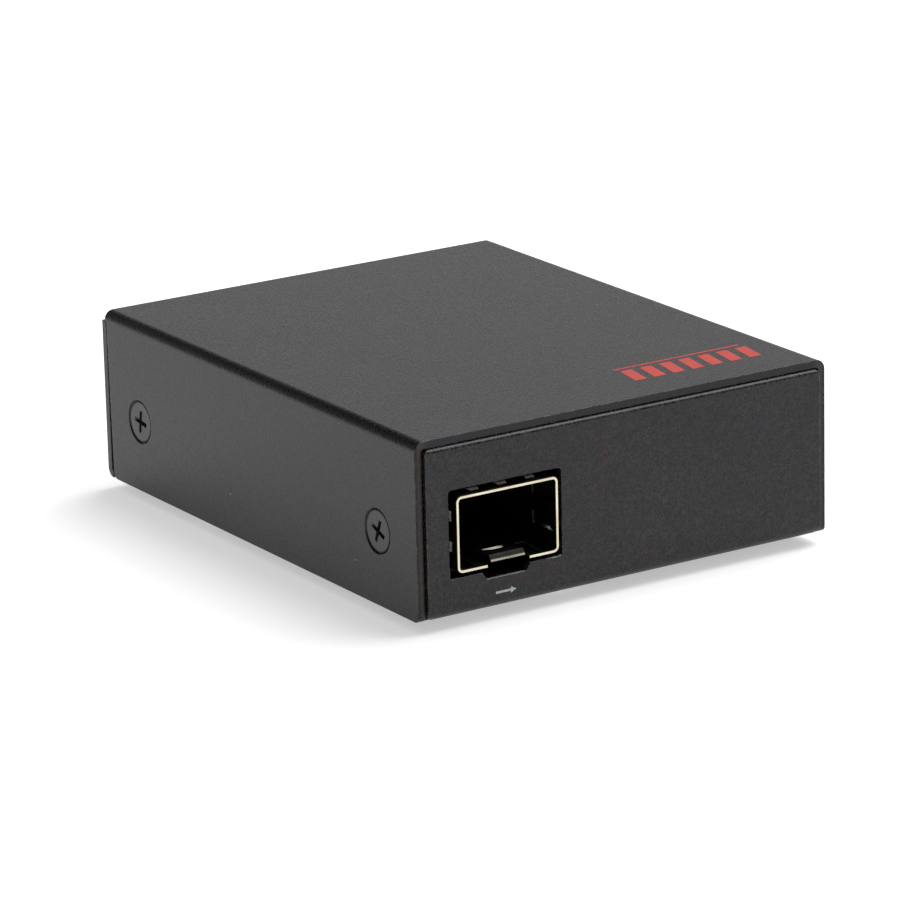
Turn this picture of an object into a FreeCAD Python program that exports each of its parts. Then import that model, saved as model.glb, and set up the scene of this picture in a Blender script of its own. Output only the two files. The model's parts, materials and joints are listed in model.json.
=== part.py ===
"""Fibre media converter in a folded steel housing.

Millimetres, +Z up. The module cage faces -Y and the network jack faces +Y. The origin is the
middle of the footprint, on the surface that the rubber feet stand on.
"""
import FreeCAD, Part
import math
import os

V = FreeCAD.Vector
X_AXIS = V(1, 0, 0)
Y_AXIS = V(0, 1, 0)
Z_AXIS = V(0, 0, 1)

# ---------------------------------------------------------------- driving dimensions
# Housing
cover_width = 61.6
cover_depth = 76.6
housing_height = 23.0          # underside of the tray to the top of the cover
sheet = 1.0
inside_bend = 0.3
wall_gap = 0.15                # cover wall to tray
lid_gap = 0.1                  # underside of the cover to the panel tops
front_proud = 0.55             # front panel ahead of the cover's front edge
rear_proud = 0.7               # rear panel behind the cover's rear edge
wall_setback_top = 0.45        # rear edge of a side wall, ahead of the top's rear edge
wall_setback_bottom = 0.85
wall_corner = 0.8              # rounded lower corners of the side walls
panel_corner = 1.5             # rounded lower corners of the front panel
panel_top_corner = 0.7
corner_run_out = 0.1           # the lower corners' arcs end below the tray's underside
edge_round = 0.5               # top edge of the front panel

# Cover screws (M3 countersunk)
screw_inset_front = 9.0
screw_inset_rear = 8.5
screw_height = 9.6             # above the underside of the tray
countersink_radius = 3.0
thread_radius = 1.5
screw_length = 4.0
screw_sink = 0.1               # head below the wall's face
screw_rim = 0.25               # head inside the countersink's rim
recess_span = 3.1
recess_width = 0.62
recess_depth = 1.3
fit_gap = 0.03                 # around a piece that seats in another
seat_gap = 0.02                # under a part soldered to the board
thread_gap = 0.05
beyond = 1.0                   # a cutter past the faces that it opens
ear_width = 9.0
ear_height = 14.0
ear_root = 4.0                 # of the ear's own sheet along the floor
ear_relief = 0.8
tapped_collar = 1.1
tapped_collar_radius = 2.2

# Rubber feet
foot_height = 1.6
foot_radius = 3.5
foot_taper = 0.4
foot_round = 0.5
foot_inset = 8.5

# Circuit board
board_thickness = 1.6
standoff_height = 3.0
board_edge_gap = 1.0           # to the inside of each panel
board_side_gap = 0.6           # to the ears
board_hole_inset = 4.2         # from the board's side, and from the module cage
board_hole_front = 6.0         # first hole, from the front edge
board_hole_middle = 16.0
board_hole_jack = 4.2          # ahead of the network jack
standoff_flats = 5.5
standoff_head_flats = 6.4      # pressed into the floor
standoff_bore_rest = 0.6       # of the head left below the bore
board_corner = 0.8
board_cage_gap = 0.6           # cut-out under the cage, round its springs
hole_gap = 0.2                 # around screws in the board
board_head_radius = 2.75
board_head_height = 1.9
board_screw_length = 3.8       # below the head
slot_gap = 0.12                # around tails and leads in the board

# Pluggable-module cage
cage_centre = 12.6             # from the outside of the left wall
cage_seat = 0.1                # above the board
slot_width = 14.2
slot_height = 9.15
cage_sheet = 0.3
cage_corner = 0.45             # inside radius of the folded corners
spring_bend = 0.1              # inside radius in the fingers and the latch tab
cage_length = 48.7
cage_proud = 0.5               # rim ahead of the front panel
cage_clearance = 0.85          # cage to the panel's cut-out
cutout_corner = 0.5
notch_top = 7.0                # under the latch tab
notch_bottom = 5.8
notch_depth = 0.9
finger_width = 1.3
finger_pitch_top = 4.1
finger_pitch_side = 3.9
finger_length = 4.6
finger_rise = 0.62
finger_slit = 0.25
finger_start = 0.45            # behind the cage's rim
finger_root = 0.35             # level part before the finger rises
finger_end_gap = 0.3
finger_lift = 0.3              # side fingers, above the middle
finger_low_inset = 2.1         # fingers below, from the cage's sides
latch_gap = 6.2                # break in the cage's lower rim
latch_width = 5.0
latch_length = 11.5
latch_root = 1.0               # of the tab's own sheet along the cage
latch_rise = 1.05              # underside of the tab's crest above the cage's underside
latch_lip_rise = 0.4
latch_lip_depth = 0.4          # of the slope between the lip and the crest
latch_setback = 0.35
latch_window = 3.2
latch_window_start = 1.7       # point of the window, behind the lip
latch_window_length = 1.6
tail_width = 0.9
tail_reach = 0.6               # below the board
cage_tail_count = 5            # on each side
cage_tail_pitch = 7.5
cage_tail_start = 2.0          # behind the latch tab's root

# Module connector
connector_width = 12.0
connector_depth = 9.2
connector_height = 5.4
connector_back_gap = 1.2       # to the cage's rear wall
card_slot_width = 9.6
card_slot_height = 1.3
card_slot_depth = 6.0
card_slot_centre = 3.3         # above the board
connector_side_gap = 0.3       # to the opening in the cage's floor
connector_front_gap = 1.5
connector_corner = 0.3
module_contacts_per_row = 10
module_contact_pitch = 0.8
module_contact_width = 0.3
module_contact_sheet = 0.2
module_contact_gap = 0.07      # to each side of its groove
module_contact_lift = 0.05     # upper row, above the card slot
module_contact_inset = 0.9     # upright legs, from the body's front and back
module_contact_slope = 0.3
module_contact_toe = 0.65      # soldered, past the body
module_contact_end = 2.6       # lower row's free end, from the body's back
module_groove_depth = 0.5      # above and below the card slot
module_groove_room = 0.4       # past the upright legs

# Parts on the board
small_chip_length = 4.9
small_chip_width = 3.9
small_chip_height = 1.45
small_chip_pitch = 1.27
transformer_length = 15.1
transformer_width = 9.6
transformer_height = 4.6
transformer_pitch = 1.8
chip_lead_reach = 1.05         # out from each long side
chip_lead_width = 0.4
chip_lead_sheet = 0.18
chip_stand = 0.15              # body above the board
chip_edge = 0.12
converter_size = 9.0
converter_height = 0.85
input_capacitor_radius = 4.0
input_capacitor_height = 9.8
output_capacitor_radius = 3.15
output_capacitor_height = 7.6
capacitor_base = 0.8
capacitor_base_rim = 0.2       # base past the can
capacitor_neck = 0.7           # rolled in above the base
capacitor_neck_slope = 0.3
inductor_size = 7.0
inductor_height = 3.6
crystal_length = 11.2
crystal_width = 4.8
crystal_height = 3.4
crystal_flange = 0.5
supply_from_cage = 4.9         # middle of the supply parts, from the cage's side
chip_part_length = 1.6
chip_part_width = 0.8
chip_part_height = 0.55
chip_part_pitch = 1.7
chip_column_gap = 1.2          # between a column of small parts and a chip

# Network jack
jack_from_right = 14.6         # centre, from the outside of the right wall
jack_width = 15.9
jack_height = 13.4
jack_depth = 21.3
jack_sheet = 0.25
jack_corner = 0.4
jack_proud = 0.3               # shield's rim behind the panel
jack_face_inset = 0.3          # moulded face inside the rim
jack_clearance = 0.35
plug_width = 11.9
plug_height = 6.9
plug_floor = 2.3
plug_depth = 14.0
latch_channel_width = 6.3
latch_channel_height = 1.6
latch_notch_width = 4.2
latch_notch_height = 1.0
latch_notch_length = 3.0
jack_contact_count = 8
jack_contact_pitch = 1.02
jack_contact_size = 0.35
jack_contact_gap = 0.1         # to each side of its groove
jack_contact_rows = (2.4, 4.94)    # tails, from the jack's back
jack_contact_run = 1.0         # level run, above the board
jack_contact_turn = 2.6        # from the moulded face
jack_contact_spring = 9.5      # free end, from the moulded face
jack_contact_rise = 3.5
jack_groove_end = 1.2          # of the grooves, from the moulded face
jack_light_width = 2.7
jack_light_height = 1.9
jack_light_depth = 4.0
jack_light_side = 0.7          # from the inside of the shield
jack_light_top = 0.55
jack_peg_radius = 1.6
jack_peg_gap = 0.05
jack_peg_spacing = 11.44
jack_peg_place = 12.5          # from the shield's rim
shield_tail = 1.2
shield_tail_place = 9.0        # from the shield's rim
jack_finger_width = 2.0
jack_finger_length = 3.7
jack_finger_root = 0.3         # from the shield's rim
jack_finger_rise = 0.28
jack_finger_gap = 0.3
jack_finger_spacing = 8.0      # between the two on top

# Power inlet
inlet_centre = 11.6            # from the outside of the left wall
inlet_height = 6.5             # above the board
inlet_width = 9.0
inlet_body_height = 10.9
inlet_depth = 14.2
inlet_corner = 1.2
inlet_panel_gap = 0.3
inlet_nose_radius = 4.1
inlet_nose_proud = 0.2
inlet_bore = 3.15
inlet_bore_depth = 9.6
inlet_lead_in = 0.4
inlet_pin_radius = 1.0
inlet_pin_tip = 0.4            # chamfer
inlet_pin_root = 1.3           # thicker where the body holds it
inlet_pin_start = 0.7          # from the inlet's back
inlet_pin_recess = 0.6
inlet_plate_width = 1.8
inlet_plate_rise = 1.4         # above the pin's axis
inlet_tail_width = 0.9
inlet_tail_sheet = 0.3
inlet_tail_places = (0.775, 6.45, 3.8)    # pin, spring and side tail, from the inlet's back
inlet_side_reach = 3.6         # side tail, from the inlet's middle
inlet_side_height = 2.6
inlet_slot_gap = 0.2
inlet_slot_width = 2.6         # under the bore, for the spring
inlet_slot_start = 5.0         # from the inlet's back
inlet_slot_end = 3.2           # from the inlet's mouth
inlet_slot_rise = 0.6          # above the bottom of the bore
inlet_spring_end = 1.0         # free end, from the end of the slot
inlet_spring_crest = 2.2       # from the tail
inlet_spring_rise = 0.35       # of the crest, into the bore
inlet_spring_fall = 0.7        # of the ends, under the bore
inlet_clearance = 0.25

# Indicator lights
lamp_radius = 1.5
lamp_gap = 0.12
lamp_seat_gap = 0.05
lamp_pitch = 4.6
lamp_first = 20.6              # from the outside of the left wall
lamp_height = 6.2              # above the board
lamp_proud = 0.8
lamp_length = 5.2
lamp_flange = 1.9
lamp_flange_depth = 0.8
lamp_names = ("power", "fibre", "copper")
lead_size = 0.5
lead_drop = 2.2                # leads behind the lamps
lead_spread = 1.27             # each lead, from its lamp's middle
holder_wall = 0.9
holder_margin = 2.4            # round the outer lamps
holder_edge = 0.4
holder_panel_gap = 0.25

# ---------------------------------------------------------------- worked out
half_width = cover_width / 2
tray_under = foot_height
cover_top = tray_under + housing_height
floor_top = tray_under + sheet
panel_top = cover_top - sheet - lid_gap
outside_bend = inside_bend + sheet
front_reach = front_proud + cage_proud
rear_reach = rear_proud + lamp_proud
cover_front = -(cover_depth + rear_reach - front_reach) / 2
cover_rear = cover_front + cover_depth
front_face = cover_front - front_proud
rear_face = cover_rear + rear_proud
front_inside = front_face + sheet
rear_inside = rear_face - sheet
tray_half = half_width - sheet - wall_gap
ear_inside = tray_half - sheet
screw_z = tray_under + screw_height
screw_rows = (cover_front + screw_inset_front, cover_rear - screw_inset_rear)
foot_x = half_width - foot_inset
foot_rows = (cover_front + foot_inset, cover_rear - foot_inset)

board_low = floor_top + standoff_height
board_top = board_low + board_thickness
board_half = ear_inside - board_side_gap
board_front = front_inside + board_edge_gap
board_rear = rear_inside - board_edge_gap

cage_x = -half_width + cage_centre
cage_low = board_top + cage_seat
cage_half = slot_width / 2 + cage_sheet
cage_tall = slot_height + 2 * cage_sheet
cage_front = front_face - cage_proud
cage_rear = cage_front + cage_length
cage_mid = cage_low + cage_tall / 2
cage_outer_corner = cage_corner + cage_sheet

jack_x = half_width - jack_from_right
jack_front = rear_face + jack_proud
jack_back = jack_front - jack_depth
jack_face = jack_front - jack_face_inset
inlet_x = -half_width + inlet_centre
inlet_z = board_top + inlet_height
inlet_back = rear_inside - inlet_depth
inlet_mouth = rear_face + inlet_nose_proud
board_holes = [
    (cage_x + cage_half + board_hole_inset, board_front + board_hole_front),
    (board_half - board_hole_inset, board_front + board_hole_middle),
    (-board_half + board_hole_inset, (cage_rear + inlet_back) / 2),
    (board_half - board_hole_inset, jack_back - board_hole_jack),
]
lamp_z = board_top + lamp_height
lamp_xs = [-half_width + lamp_first + i * lamp_pitch for i in range(len(lamp_names))]

lamp_back = rear_face + lamp_proud - lamp_length
holder_front = lamp_back - lead_drop - holder_wall


def in_a_row(lengths, low, high):
    """Centres of pieces of these lengths, set between low and high with equal gaps."""
    gap = (high - low - sum(lengths)) / (len(lengths) + 1)
    centres, edge = [], low
    for length in lengths:
        centres.append(edge + gap + length / 2)
        edge += gap + length
    return centres


middle_x = (cage_x + cage_half + board_half) / 2
memory_y, converter_y, crystal_y, transformer_y = in_a_row(
    [small_chip_width + 2 * chip_lead_reach, converter_size, crystal_width,
     transformer_width + 2 * chip_lead_reach],
    board_front, board_holes[3][1] - board_head_radius)
supply_x = cage_x + cage_half + supply_from_cage
output_capacitor_y, inductor_y, regulator_y, input_capacitor_y = in_a_row(
    [2 * output_capacitor_radius, inductor_size, small_chip_length, 2 * input_capacitor_radius],
    board_holes[0][1] + board_head_radius, holder_front)


# ---------------------------------------------------------------- shape helpers
def box(x0, x1, y0, y1, z0, z1):
    return Part.makeBox(x1 - x0, y1 - y0, z1 - z0, V(x0, y0, z0))


def cylinder(radius, start, direction, length):
    return Part.makeCylinder(radius, length, start, direction)


def rounded_wire(corners, place):
    """Closed wire through corners (a, b, radius), where place turns (a, b) into a point."""
    starts, middles, ends = [], [], []
    for i, (a, b, radius) in enumerate(corners):
        here = V(a, b, 0)
        to_last = (V(corners[i - 1][0], corners[i - 1][1], 0) - here).normalize()
        following = corners[(i + 1) % len(corners)]
        to_next = (V(following[0], following[1], 0) - here).normalize()
        if radius > 0:
            half = to_last.getAngle(to_next) / 2
            setback = radius / math.tan(half)
            bisector = (to_last + to_next).normalize()
            starts.append(here + to_last * setback)
            middles.append(here + bisector * (radius / math.sin(half) - radius))
            ends.append(here + to_next * setback)
        else:
            starts.append(here)
            middles.append(None)
            ends.append(here)
    edges = []
    for i, middle in enumerate(middles):
        if middle is not None:
            arc = [place(p.x, p.y) for p in (starts[i], middle, ends[i])]
            edges.append(Part.Arc(*arc).toShape())
        start = place(ends[i].x, ends[i].y)
        after = starts[(i + 1) % len(starts)]
        end = place(after.x, after.y)
        if start.distanceToPoint(end) > 1e-6:
            edges.append(Part.LineSegment(start, end).toShape())
    return Part.Wire(edges)


def extruded(corners, plane, low, high):
    """Solid whose section has the given corners in plane "xy", "xz" or "yz"."""
    place, along = {
        "xy": (lambda a, b: V(a, b, low), Z_AXIS),
        "xz": (lambda a, b: V(a, low, b), Y_AXIS),
        "yz": (lambda a, b: V(low, a, b), X_AXIS),
    }[plane]
    face = Part.Face(rounded_wire(corners, place))
    return face.extrude(along * (high - low))


def polygon(points, plane, low, high):
    return extruded([(a, b, 0) for a, b in points], plane, low, high)


def rounded_rectangle(a0, a1, b0, b1, radius):
    return [(a0, b0, radius), (a1, b0, radius), (a1, b1, radius), (a0, b1, radius)]


def folded(route, thickness, inside=None):
    """Section corners of a folded sheet. The route is one face, and the sheet is on its left.

    The bends are sharp where no inside radius is given.
    """
    near, far = [], []
    for i, (a, b) in enumerate(route):
        here = V(a, b, 0)
        normals = []
        if i > 0:
            step = (here - V(route[i - 1][0], route[i - 1][1], 0)).normalize()
            normals.append(V(-step.y, step.x, 0))
        if i < len(route) - 1:
            step = (V(route[i + 1][0], route[i + 1][1], 0) - here).normalize()
            normals.append(V(-step.y, step.x, 0))
        if len(normals) == 1:
            offset = normals[0] * thickness
            radii = (0, 0)
        else:
            first, second = normals
            offset = (first + second) * (thickness / (1 + first.dot(second)))
            turns_left = first.x * second.y - first.y * second.x > 0
            if inside is None:
                radii = (0, 0)
            elif turns_left:
                radii = (inside + thickness, inside)
            else:
                radii = (inside, inside + thickness)
        near.append((a, b, radii[0]))
        far.append((a + offset.x, b + offset.y, radii[1]))
    return near + far[::-1]


def revolved(profile, start, along):
    """Solid turned about an axis: profile points are (radius, distance along the axis)."""
    points = [V(r, 0, h) for r, h in profile]
    wire = Part.makePolygon(points + points[:1])
    solid = Part.Face(wire).revolve(V(0, 0, 0), Z_AXIS, 360)
    turn = FreeCAD.Rotation(Z_AXIS, along)
    solid.Placement = FreeCAD.Placement(start, turn)
    return solid


def round_edges(shape, radius, chosen):
    edges = [edge for edge in shape.Edges if chosen(edge.BoundBox)]
    return shape.makeFillet(radius, edges)


def chamfered(shape, size, chosen):
    return shape.makeChamfer(size, [edge for edge in shape.Edges if chosen(edge.BoundBox)])


def moved(shape, x=0, y=0, z=0):
    copy = shape.copy()
    copy.translate(V(x, y, z))
    return copy


def fused(shapes):
    return shapes[0].multiFuse(shapes[1:]).removeSplitter()


def cross_recess(span, width, depth):
    """Cutter for a cross-shaped driver recess, mouth at the origin and going down -Z."""
    wings = []
    for angle in (0, 90):
        foot, waist = span * 0.2, width * 0.35
        wing = Part.makeWedge(-foot, -depth, -waist, -width / 2, -span / 2,
                              foot, 0.01, waist, width / 2, span / 2)
        wing.rotate(V(0, 0, 0), X_AXIS, 90)
        wing.rotate(V(0, 0, 0), Z_AXIS, angle)
        wings.append(wing)
    return fused(wings)


# ---------------------------------------------------------------- housing
def countersink_cutter(side, y):
    """Countersunk hole through a side wall and its ear. It narrows at 90 degrees."""
    start = V(side * half_width, y, screw_z)
    throat = thread_radius + thread_gap
    depth = countersink_radius - throat
    reach = half_width - ear_inside + tapped_collar + beyond
    profile = [(0, -beyond), (countersink_radius, -beyond), (countersink_radius, 0),
               (throat, depth), (throat, reach), (0, reach)]
    return revolved(profile, start, X_AXIS * -side)


def top_cover():
    outside = [(half_width, tray_under), (half_width, cover_top),
               (-half_width, cover_top), (-half_width, tray_under)]
    cover = extruded(folded(outside, sheet, inside_bend), "xz", cover_front, cover_rear)
    wall_top = cover_top - outside_bend
    past, under = cover_rear + beyond, tray_under - beyond
    trims = [polygon([(cover_rear - wall_setback_top, wall_top), (past, wall_top),
                      (past, under), (cover_rear - wall_setback_bottom, under)],
                     "yz", -half_width - beyond, half_width + beyond)]
    rear_corner = cover_rear - wall_setback_bottom
    for y, inward in ((cover_front, 1), (rear_corner, -1)):
        trims.append(corner_cutter(y, tray_under, inward, 1, wall_corner, "yz",
                                   -half_width - beyond, half_width + beyond))
    for side in (-1, 1):
        trims += [countersink_cutter(side, y) for y in screw_rows]
    return cover.cut(trims)


def corner_cutter(a, b, a_way, b_way, radius, plane, low, high):
    """Cutter that rounds the square corner at (a, b). The ways point into the sheet."""
    waste = [(a - a_way, b - b_way), (a + a_way * radius, b - b_way),
             (a + a_way * radius, b + b_way * radius), (a - a_way, b + b_way * radius)]
    block = polygon(waste, plane, low, high)
    centre = {"yz": V(low, a + a_way * radius, b + b_way * radius),
              "xz": V(a + a_way * radius, low, b + b_way * radius)}[plane]
    along = {"yz": X_AXIS, "xz": Y_AXIS}[plane]
    return block.cut(cylinder(radius, centre, along, high - low))


def ear(side, y):
    """Ear folded up from the floor, with a drawn collar for a cover screw."""
    low = y - ear_width / 2
    route = [(tray_half, tray_under + ear_height), (tray_half, tray_under),
             (tray_half - ear_root, tray_under)]
    section = [(-a, b, r) for a, b, r in folded([(-a, b) for a, b in route], sheet, inside_bend)]
    plate = extruded(section, "xz", low, low + ear_width)
    collar_start = V(ear_inside, y, screw_z)
    collar = cylinder(tapped_collar_radius, collar_start, X_AXIS * -1, tapped_collar)
    solid = plate.fuse(collar)
    if side < 0:
        solid = solid.mirror(V(0, 0, 0), X_AXIS)
    return solid


def notch_outline():
    """Break in the module cut-out's lower edge, clear of the latch tab."""
    low = cage_low - cage_clearance
    upper, lower = notch_top / 2, notch_bottom / 2
    return [(cage_x - upper, low + beyond), (cage_x - upper, low),
            (cage_x - lower, low - notch_depth), (cage_x + lower, low - notch_depth),
            (cage_x + upper, low), (cage_x + upper, low + beyond)]


def front_openings():
    reach = cage_half + cage_clearance
    opening = extruded(rounded_rectangle(cage_x - reach, cage_x + reach,
                                         cage_low - cage_clearance,
                                         cage_low + cage_tall + cage_clearance, cutout_corner),
                       "xz", front_face - beyond, front_inside + beyond)
    notch = polygon(notch_outline(), "xz", front_face - beyond, front_inside + beyond)
    return [opening, notch]


def rear_openings():
    low, high = rear_inside - beyond, rear_face + beyond
    half = jack_width / 2 + jack_clearance
    jack = extruded(rounded_rectangle(jack_x - half, jack_x + half, board_top - jack_clearance,
                                      board_top + jack_height + jack_clearance, cutout_corner),
                    "xz", low, high)
    inlet = cylinder(inlet_nose_radius + inlet_clearance, V(inlet_x, low, inlet_z), Y_AXIS,
                     high - low)
    lamps = [cylinder(lamp_radius + lamp_gap, V(x, low, lamp_z), Y_AXIS, high - low)
             for x in lamp_xs]
    return [jack, inlet] + lamps


def standoff_places():
    return [V(x, y, tray_under) for x, y in board_holes]


def base_tray():
    outside = [(front_face, panel_top), (front_face, tray_under),
               (rear_face, tray_under), (rear_face, panel_top)]
    section = [(a, b, edge_round if (a, b) == outside[0] else r)
               for a, b, r in folded(outside, sheet, inside_bend)]
    tray = extruded(section, "yz", -half_width, half_width)
    rear_bend = rear_face - outside_bend
    cuts = []
    for side in (-1, 1):
        inner, outer = sorted((side * tray_half, side * (half_width + beyond)))
        cuts.append(box(inner, outer, front_face - beyond, rear_bend, tray_under - beyond,
                        cover_top))
        for y in screw_rows:
            half = ear_width / 2 + ear_relief
            inner, outer = sorted((side * (tray_half - outside_bend - ear_relief),
                                   side * (tray_half + beyond)))
            cuts.append(box(inner, outer, y - half, y + half, tray_under - beyond,
                            floor_top + beyond))
        cuts.append(corner_cutter(side * tray_half, tray_under - corner_run_out, -side, 1,
                                  panel_corner, "xz", front_face - beyond,
                                  front_face + outside_bend))
        cuts.append(corner_cutter(side * tray_half, panel_top, -side, -1, panel_top_corner, "xz",
                                  front_face - beyond, front_inside + beyond))
        inner, outer = sorted((side * (half_width - outside_bend), side * (half_width + beyond)))
        cuts.append(box(inner, outer, rear_bend, rear_face + beyond,
                        cover_top - outside_bend - lid_gap, cover_top))
    tray = tray.cut(cuts)
    ears = [ear(side, y) for side in (-1, 1) for y in screw_rows]
    tray = fused([tray] + ears)
    holes = [countersink_cutter(side, y) for side in (-1, 1) for y in screw_rows]
    holes += front_openings() + rear_openings()
    for place in standoff_places():
        holes.append(standoff_head(place, fit_gap, beyond))
    return tray.cut(holes)


def cover_screw():
    """Countersunk cross-recess screw, head at the origin and shank down +Z."""
    cone = countersink_radius - fit_gap
    rim = countersink_radius - screw_rim
    shank = thread_radius
    profile = [(0, screw_sink), (rim, screw_sink), (rim, cone - rim), (shank, cone - shank),
               (shank, screw_length), (0, screw_length)]
    screw = revolved(profile, V(0, 0, 0), Z_AXIS)
    recess = cross_recess(recess_span, recess_width, recess_depth)
    recess.rotate(V(0, 0, 0), X_AXIS, 180)
    recess.translate(V(0, 0, screw_sink))
    return screw.cut(recess)


def cover_screws():
    screws = []
    for side, turns in ((-1, (22, 8)), (1, (40, 65))):
        for y, turn in zip(screw_rows, turns):
            screw = cover_screw()
            screw.rotate(V(0, 0, 0), Z_AXIS, turn)
            screw.rotate(V(0, 0, 0), Y_AXIS, -90 * side)
            screws.append(moved(screw, side * half_width, y, screw_z))
    return Part.makeCompound(screws)


def rubber_foot(x, y):
    sole = foot_radius - foot_taper
    profile = [(0, 0), (sole - foot_round, 0), (sole, foot_round), (foot_radius, foot_height),
               (0, foot_height)]
    return revolved(profile, V(x, y, 0), Z_AXIS)


# ---------------------------------------------------------------- board and what carries it
def hexagon(x, y, flats):
    reach = flats / 2 / math.cos(math.pi / 6)
    return [(x + reach * math.cos(math.radians(a)), y + reach * math.sin(math.radians(a)))
            for a in range(0, 360, 60)]


def standoff_head(place, gap=0, past=0):
    return polygon(hexagon(place.x, place.y, standoff_head_flats + 2 * gap), "xy",
                   tray_under - past, floor_top + past)


def standoff(place):
    """Tapped hexagon spacer with a wider head pressed flush into the floor."""
    barrel = polygon(hexagon(place.x, place.y, standoff_flats), "xy", floor_top,
                     floor_top + standoff_height)
    bore = cylinder(thread_radius + thread_gap,
                    V(place.x, place.y, tray_under + standoff_bore_rest), Z_AXIS,
                    sheet + standoff_height)
    return standoff_head(place).fuse(barrel).removeSplitter().cut(bore)


def board_screw(place):
    """Cheese-head cross-recess screw that holds the board on a standoff."""
    profile = [(0, -board_screw_length), (thread_radius, -board_screw_length),
               (thread_radius, 0), (board_head_radius, 0),
               (board_head_radius, board_head_height), (0, board_head_height)]
    screw = revolved(profile, V(0, 0, 0), Z_AXIS)
    recess = cross_recess(recess_span, recess_width, recess_depth)
    screw = screw.cut(moved(recess, z=board_head_height))
    return moved(screw, place.x, place.y, board_top)


def circuit_board():
    board = extruded(rounded_rectangle(-board_half, board_half, board_front, board_rear,
                                       board_corner), "xy", board_low, board_top)
    low, high = board_low - beyond, board_top + beyond
    cuts = [cylinder(thread_radius + hole_gap, V(x, y, low), Z_AXIS, high - low)
            for x, y in board_holes]
    for half, reach in ((latch_gap / 2, latch_length),
                        (cage_half, finger_start + finger_length)):
        half += board_cage_gap
        cuts.append(box(cage_x - half, cage_x + half, board_front - beyond,
                        cage_front + reach + board_cage_gap, low, high))
    for x, y in jack_peg_places():
        cuts.append(cylinder(jack_peg_radius + jack_peg_gap, V(x, y, low), Z_AXIS, high - low))
    slots = [(x, y, cage_sheet, tail_width) for x, y in cage_tail_places()]
    slots += [(x, y, jack_sheet, shield_tail) for x, y in shield_tail_places()]
    slots += [(x, y, jack_contact_size, jack_contact_size) for x, y in jack_tail_places()]
    slots += [(x, y, lead_size, lead_size) for x, y in lamp_lead_places()]
    slots += inlet_tails()
    for x, y, wide, long in slots:
        half_x, half_y = wide / 2 + slot_gap, long / 2 + slot_gap
        cuts.append(box(x - half_x, x + half_x, y - half_y, y + half_y, low, high))
    return board.cut(cuts)


# ---------------------------------------------------------------- module cage
def cage_tail_places():
    x = cage_half - cage_sheet / 2
    rows = [cage_front + latch_length + cage_tail_start + i * cage_tail_pitch
            for i in range(cage_tail_count)]
    return [(cage_x + side * x, y) for side in (-1, 1) for y in rows]


def finger(width):
    """Ground finger on a wall whose outside is z = 0. It starts at y = 0 and goes back along +Y."""
    crest = finger_length * 0.42
    route = [(0, -cage_sheet), (finger_root, -cage_sheet), (crest, finger_rise - cage_sheet),
             (finger_length, -cage_sheet * 0.4)]
    return extruded(folded(route, cage_sheet, spring_bend), "yz", -width / 2, width / 2)


def finger_places():
    """Each finger's place on the rim: centre, and turn about the Y axis from facing up."""
    places = []
    for i in (-1, 0, 1):
        places.append((V(cage_x + i * finger_pitch_top, 0, cage_low + cage_tall), 0))
    for side, turn in ((-1, -90), (1, 90)):
        for i in (-0.5, 0.5):
            z = cage_mid + finger_lift + i * finger_pitch_side
            places.append((V(cage_x + side * cage_half, 0, z), turn))
    for side in (-1, 1):
        places.append((V(cage_x + side * (cage_half - finger_low_inset), 0, cage_low), 180))
    return places


def put_on_wall(shape, place, turn, y):
    placed = shape.copy()
    placed.rotate(V(0, 0, 0), Y_AXIS, turn)
    placed.translate(V(place.x, y, place.z))
    return placed


def latch_tab():
    """Sprung tab with the window that catches a module, sloping down to its front lip."""
    front = cage_front + latch_setback
    root = cage_front + latch_length
    route = [(front, cage_low + latch_lip_rise),
             (front + latch_lip_depth, cage_low + latch_rise),
             (root, cage_low), (root + latch_root, cage_low)]
    tab = extruded(folded(route, cage_sheet, spring_bend), "yz", cage_x - latch_width / 2,
                   cage_x + latch_width / 2)
    point, half = front + latch_window_start, latch_window / 2
    shoulder, end = point + latch_window_length * 0.8, point + latch_window_length
    window = polygon([(cage_x, point), (cage_x + half, shoulder), (cage_x + half, end),
                      (cage_x - half, end), (cage_x - half, shoulder)],
                     "xy", cage_low - beyond, cage_low + latch_rise + beyond)
    return tab.cut(window)


def module_cage():
    top = cage_low + cage_tall
    outer = extruded(rounded_rectangle(cage_x - cage_half, cage_x + cage_half, cage_low, top,
                                       cage_outer_corner), "xz", cage_front, cage_rear)
    inner = extruded(rounded_rectangle(cage_x - slot_width / 2, cage_x + slot_width / 2,
                                       cage_low + cage_sheet, top - cage_sheet, cage_corner),
                     "xz", cage_front - beyond, cage_rear - cage_sheet)
    cuts = [inner]
    low, high = cage_low - beyond, cage_low + 2 * cage_sheet
    cuts.append(box(cage_x - latch_gap / 2, cage_x + latch_gap / 2, cage_front - beyond,
                    cage_front + latch_length, low, high))
    half = connector_width / 2 + connector_side_gap
    cuts.append(box(cage_x - half, cage_x + half, connector_front() - connector_front_gap,
                    cage_rear - cage_sheet, low, high))
    half = finger_width / 2 + finger_slit
    window = box(-half, half, finger_root, finger_length + finger_end_gap, -2 * cage_sheet,
                 cage_sheet)
    start = cage_front + finger_start
    for place, turn in finger_places():
        cuts.append(put_on_wall(window, place, turn, start))
    shell = outer.cut(cuts)
    pieces = [shell, latch_tab()]
    for place, turn in finger_places():
        pieces.append(put_on_wall(finger(finger_width), place, turn, start))
    for x, y in cage_tail_places():
        pieces.append(box(x - cage_sheet / 2, x + cage_sheet / 2, y - tail_width / 2,
                          y + tail_width / 2, board_low - tail_reach,
                          cage_low + cage_outer_corner))
    return fused(pieces)


# ---------------------------------------------------------------- module connector
def connector_front():
    return cage_rear - connector_back_gap - connector_depth


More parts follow.
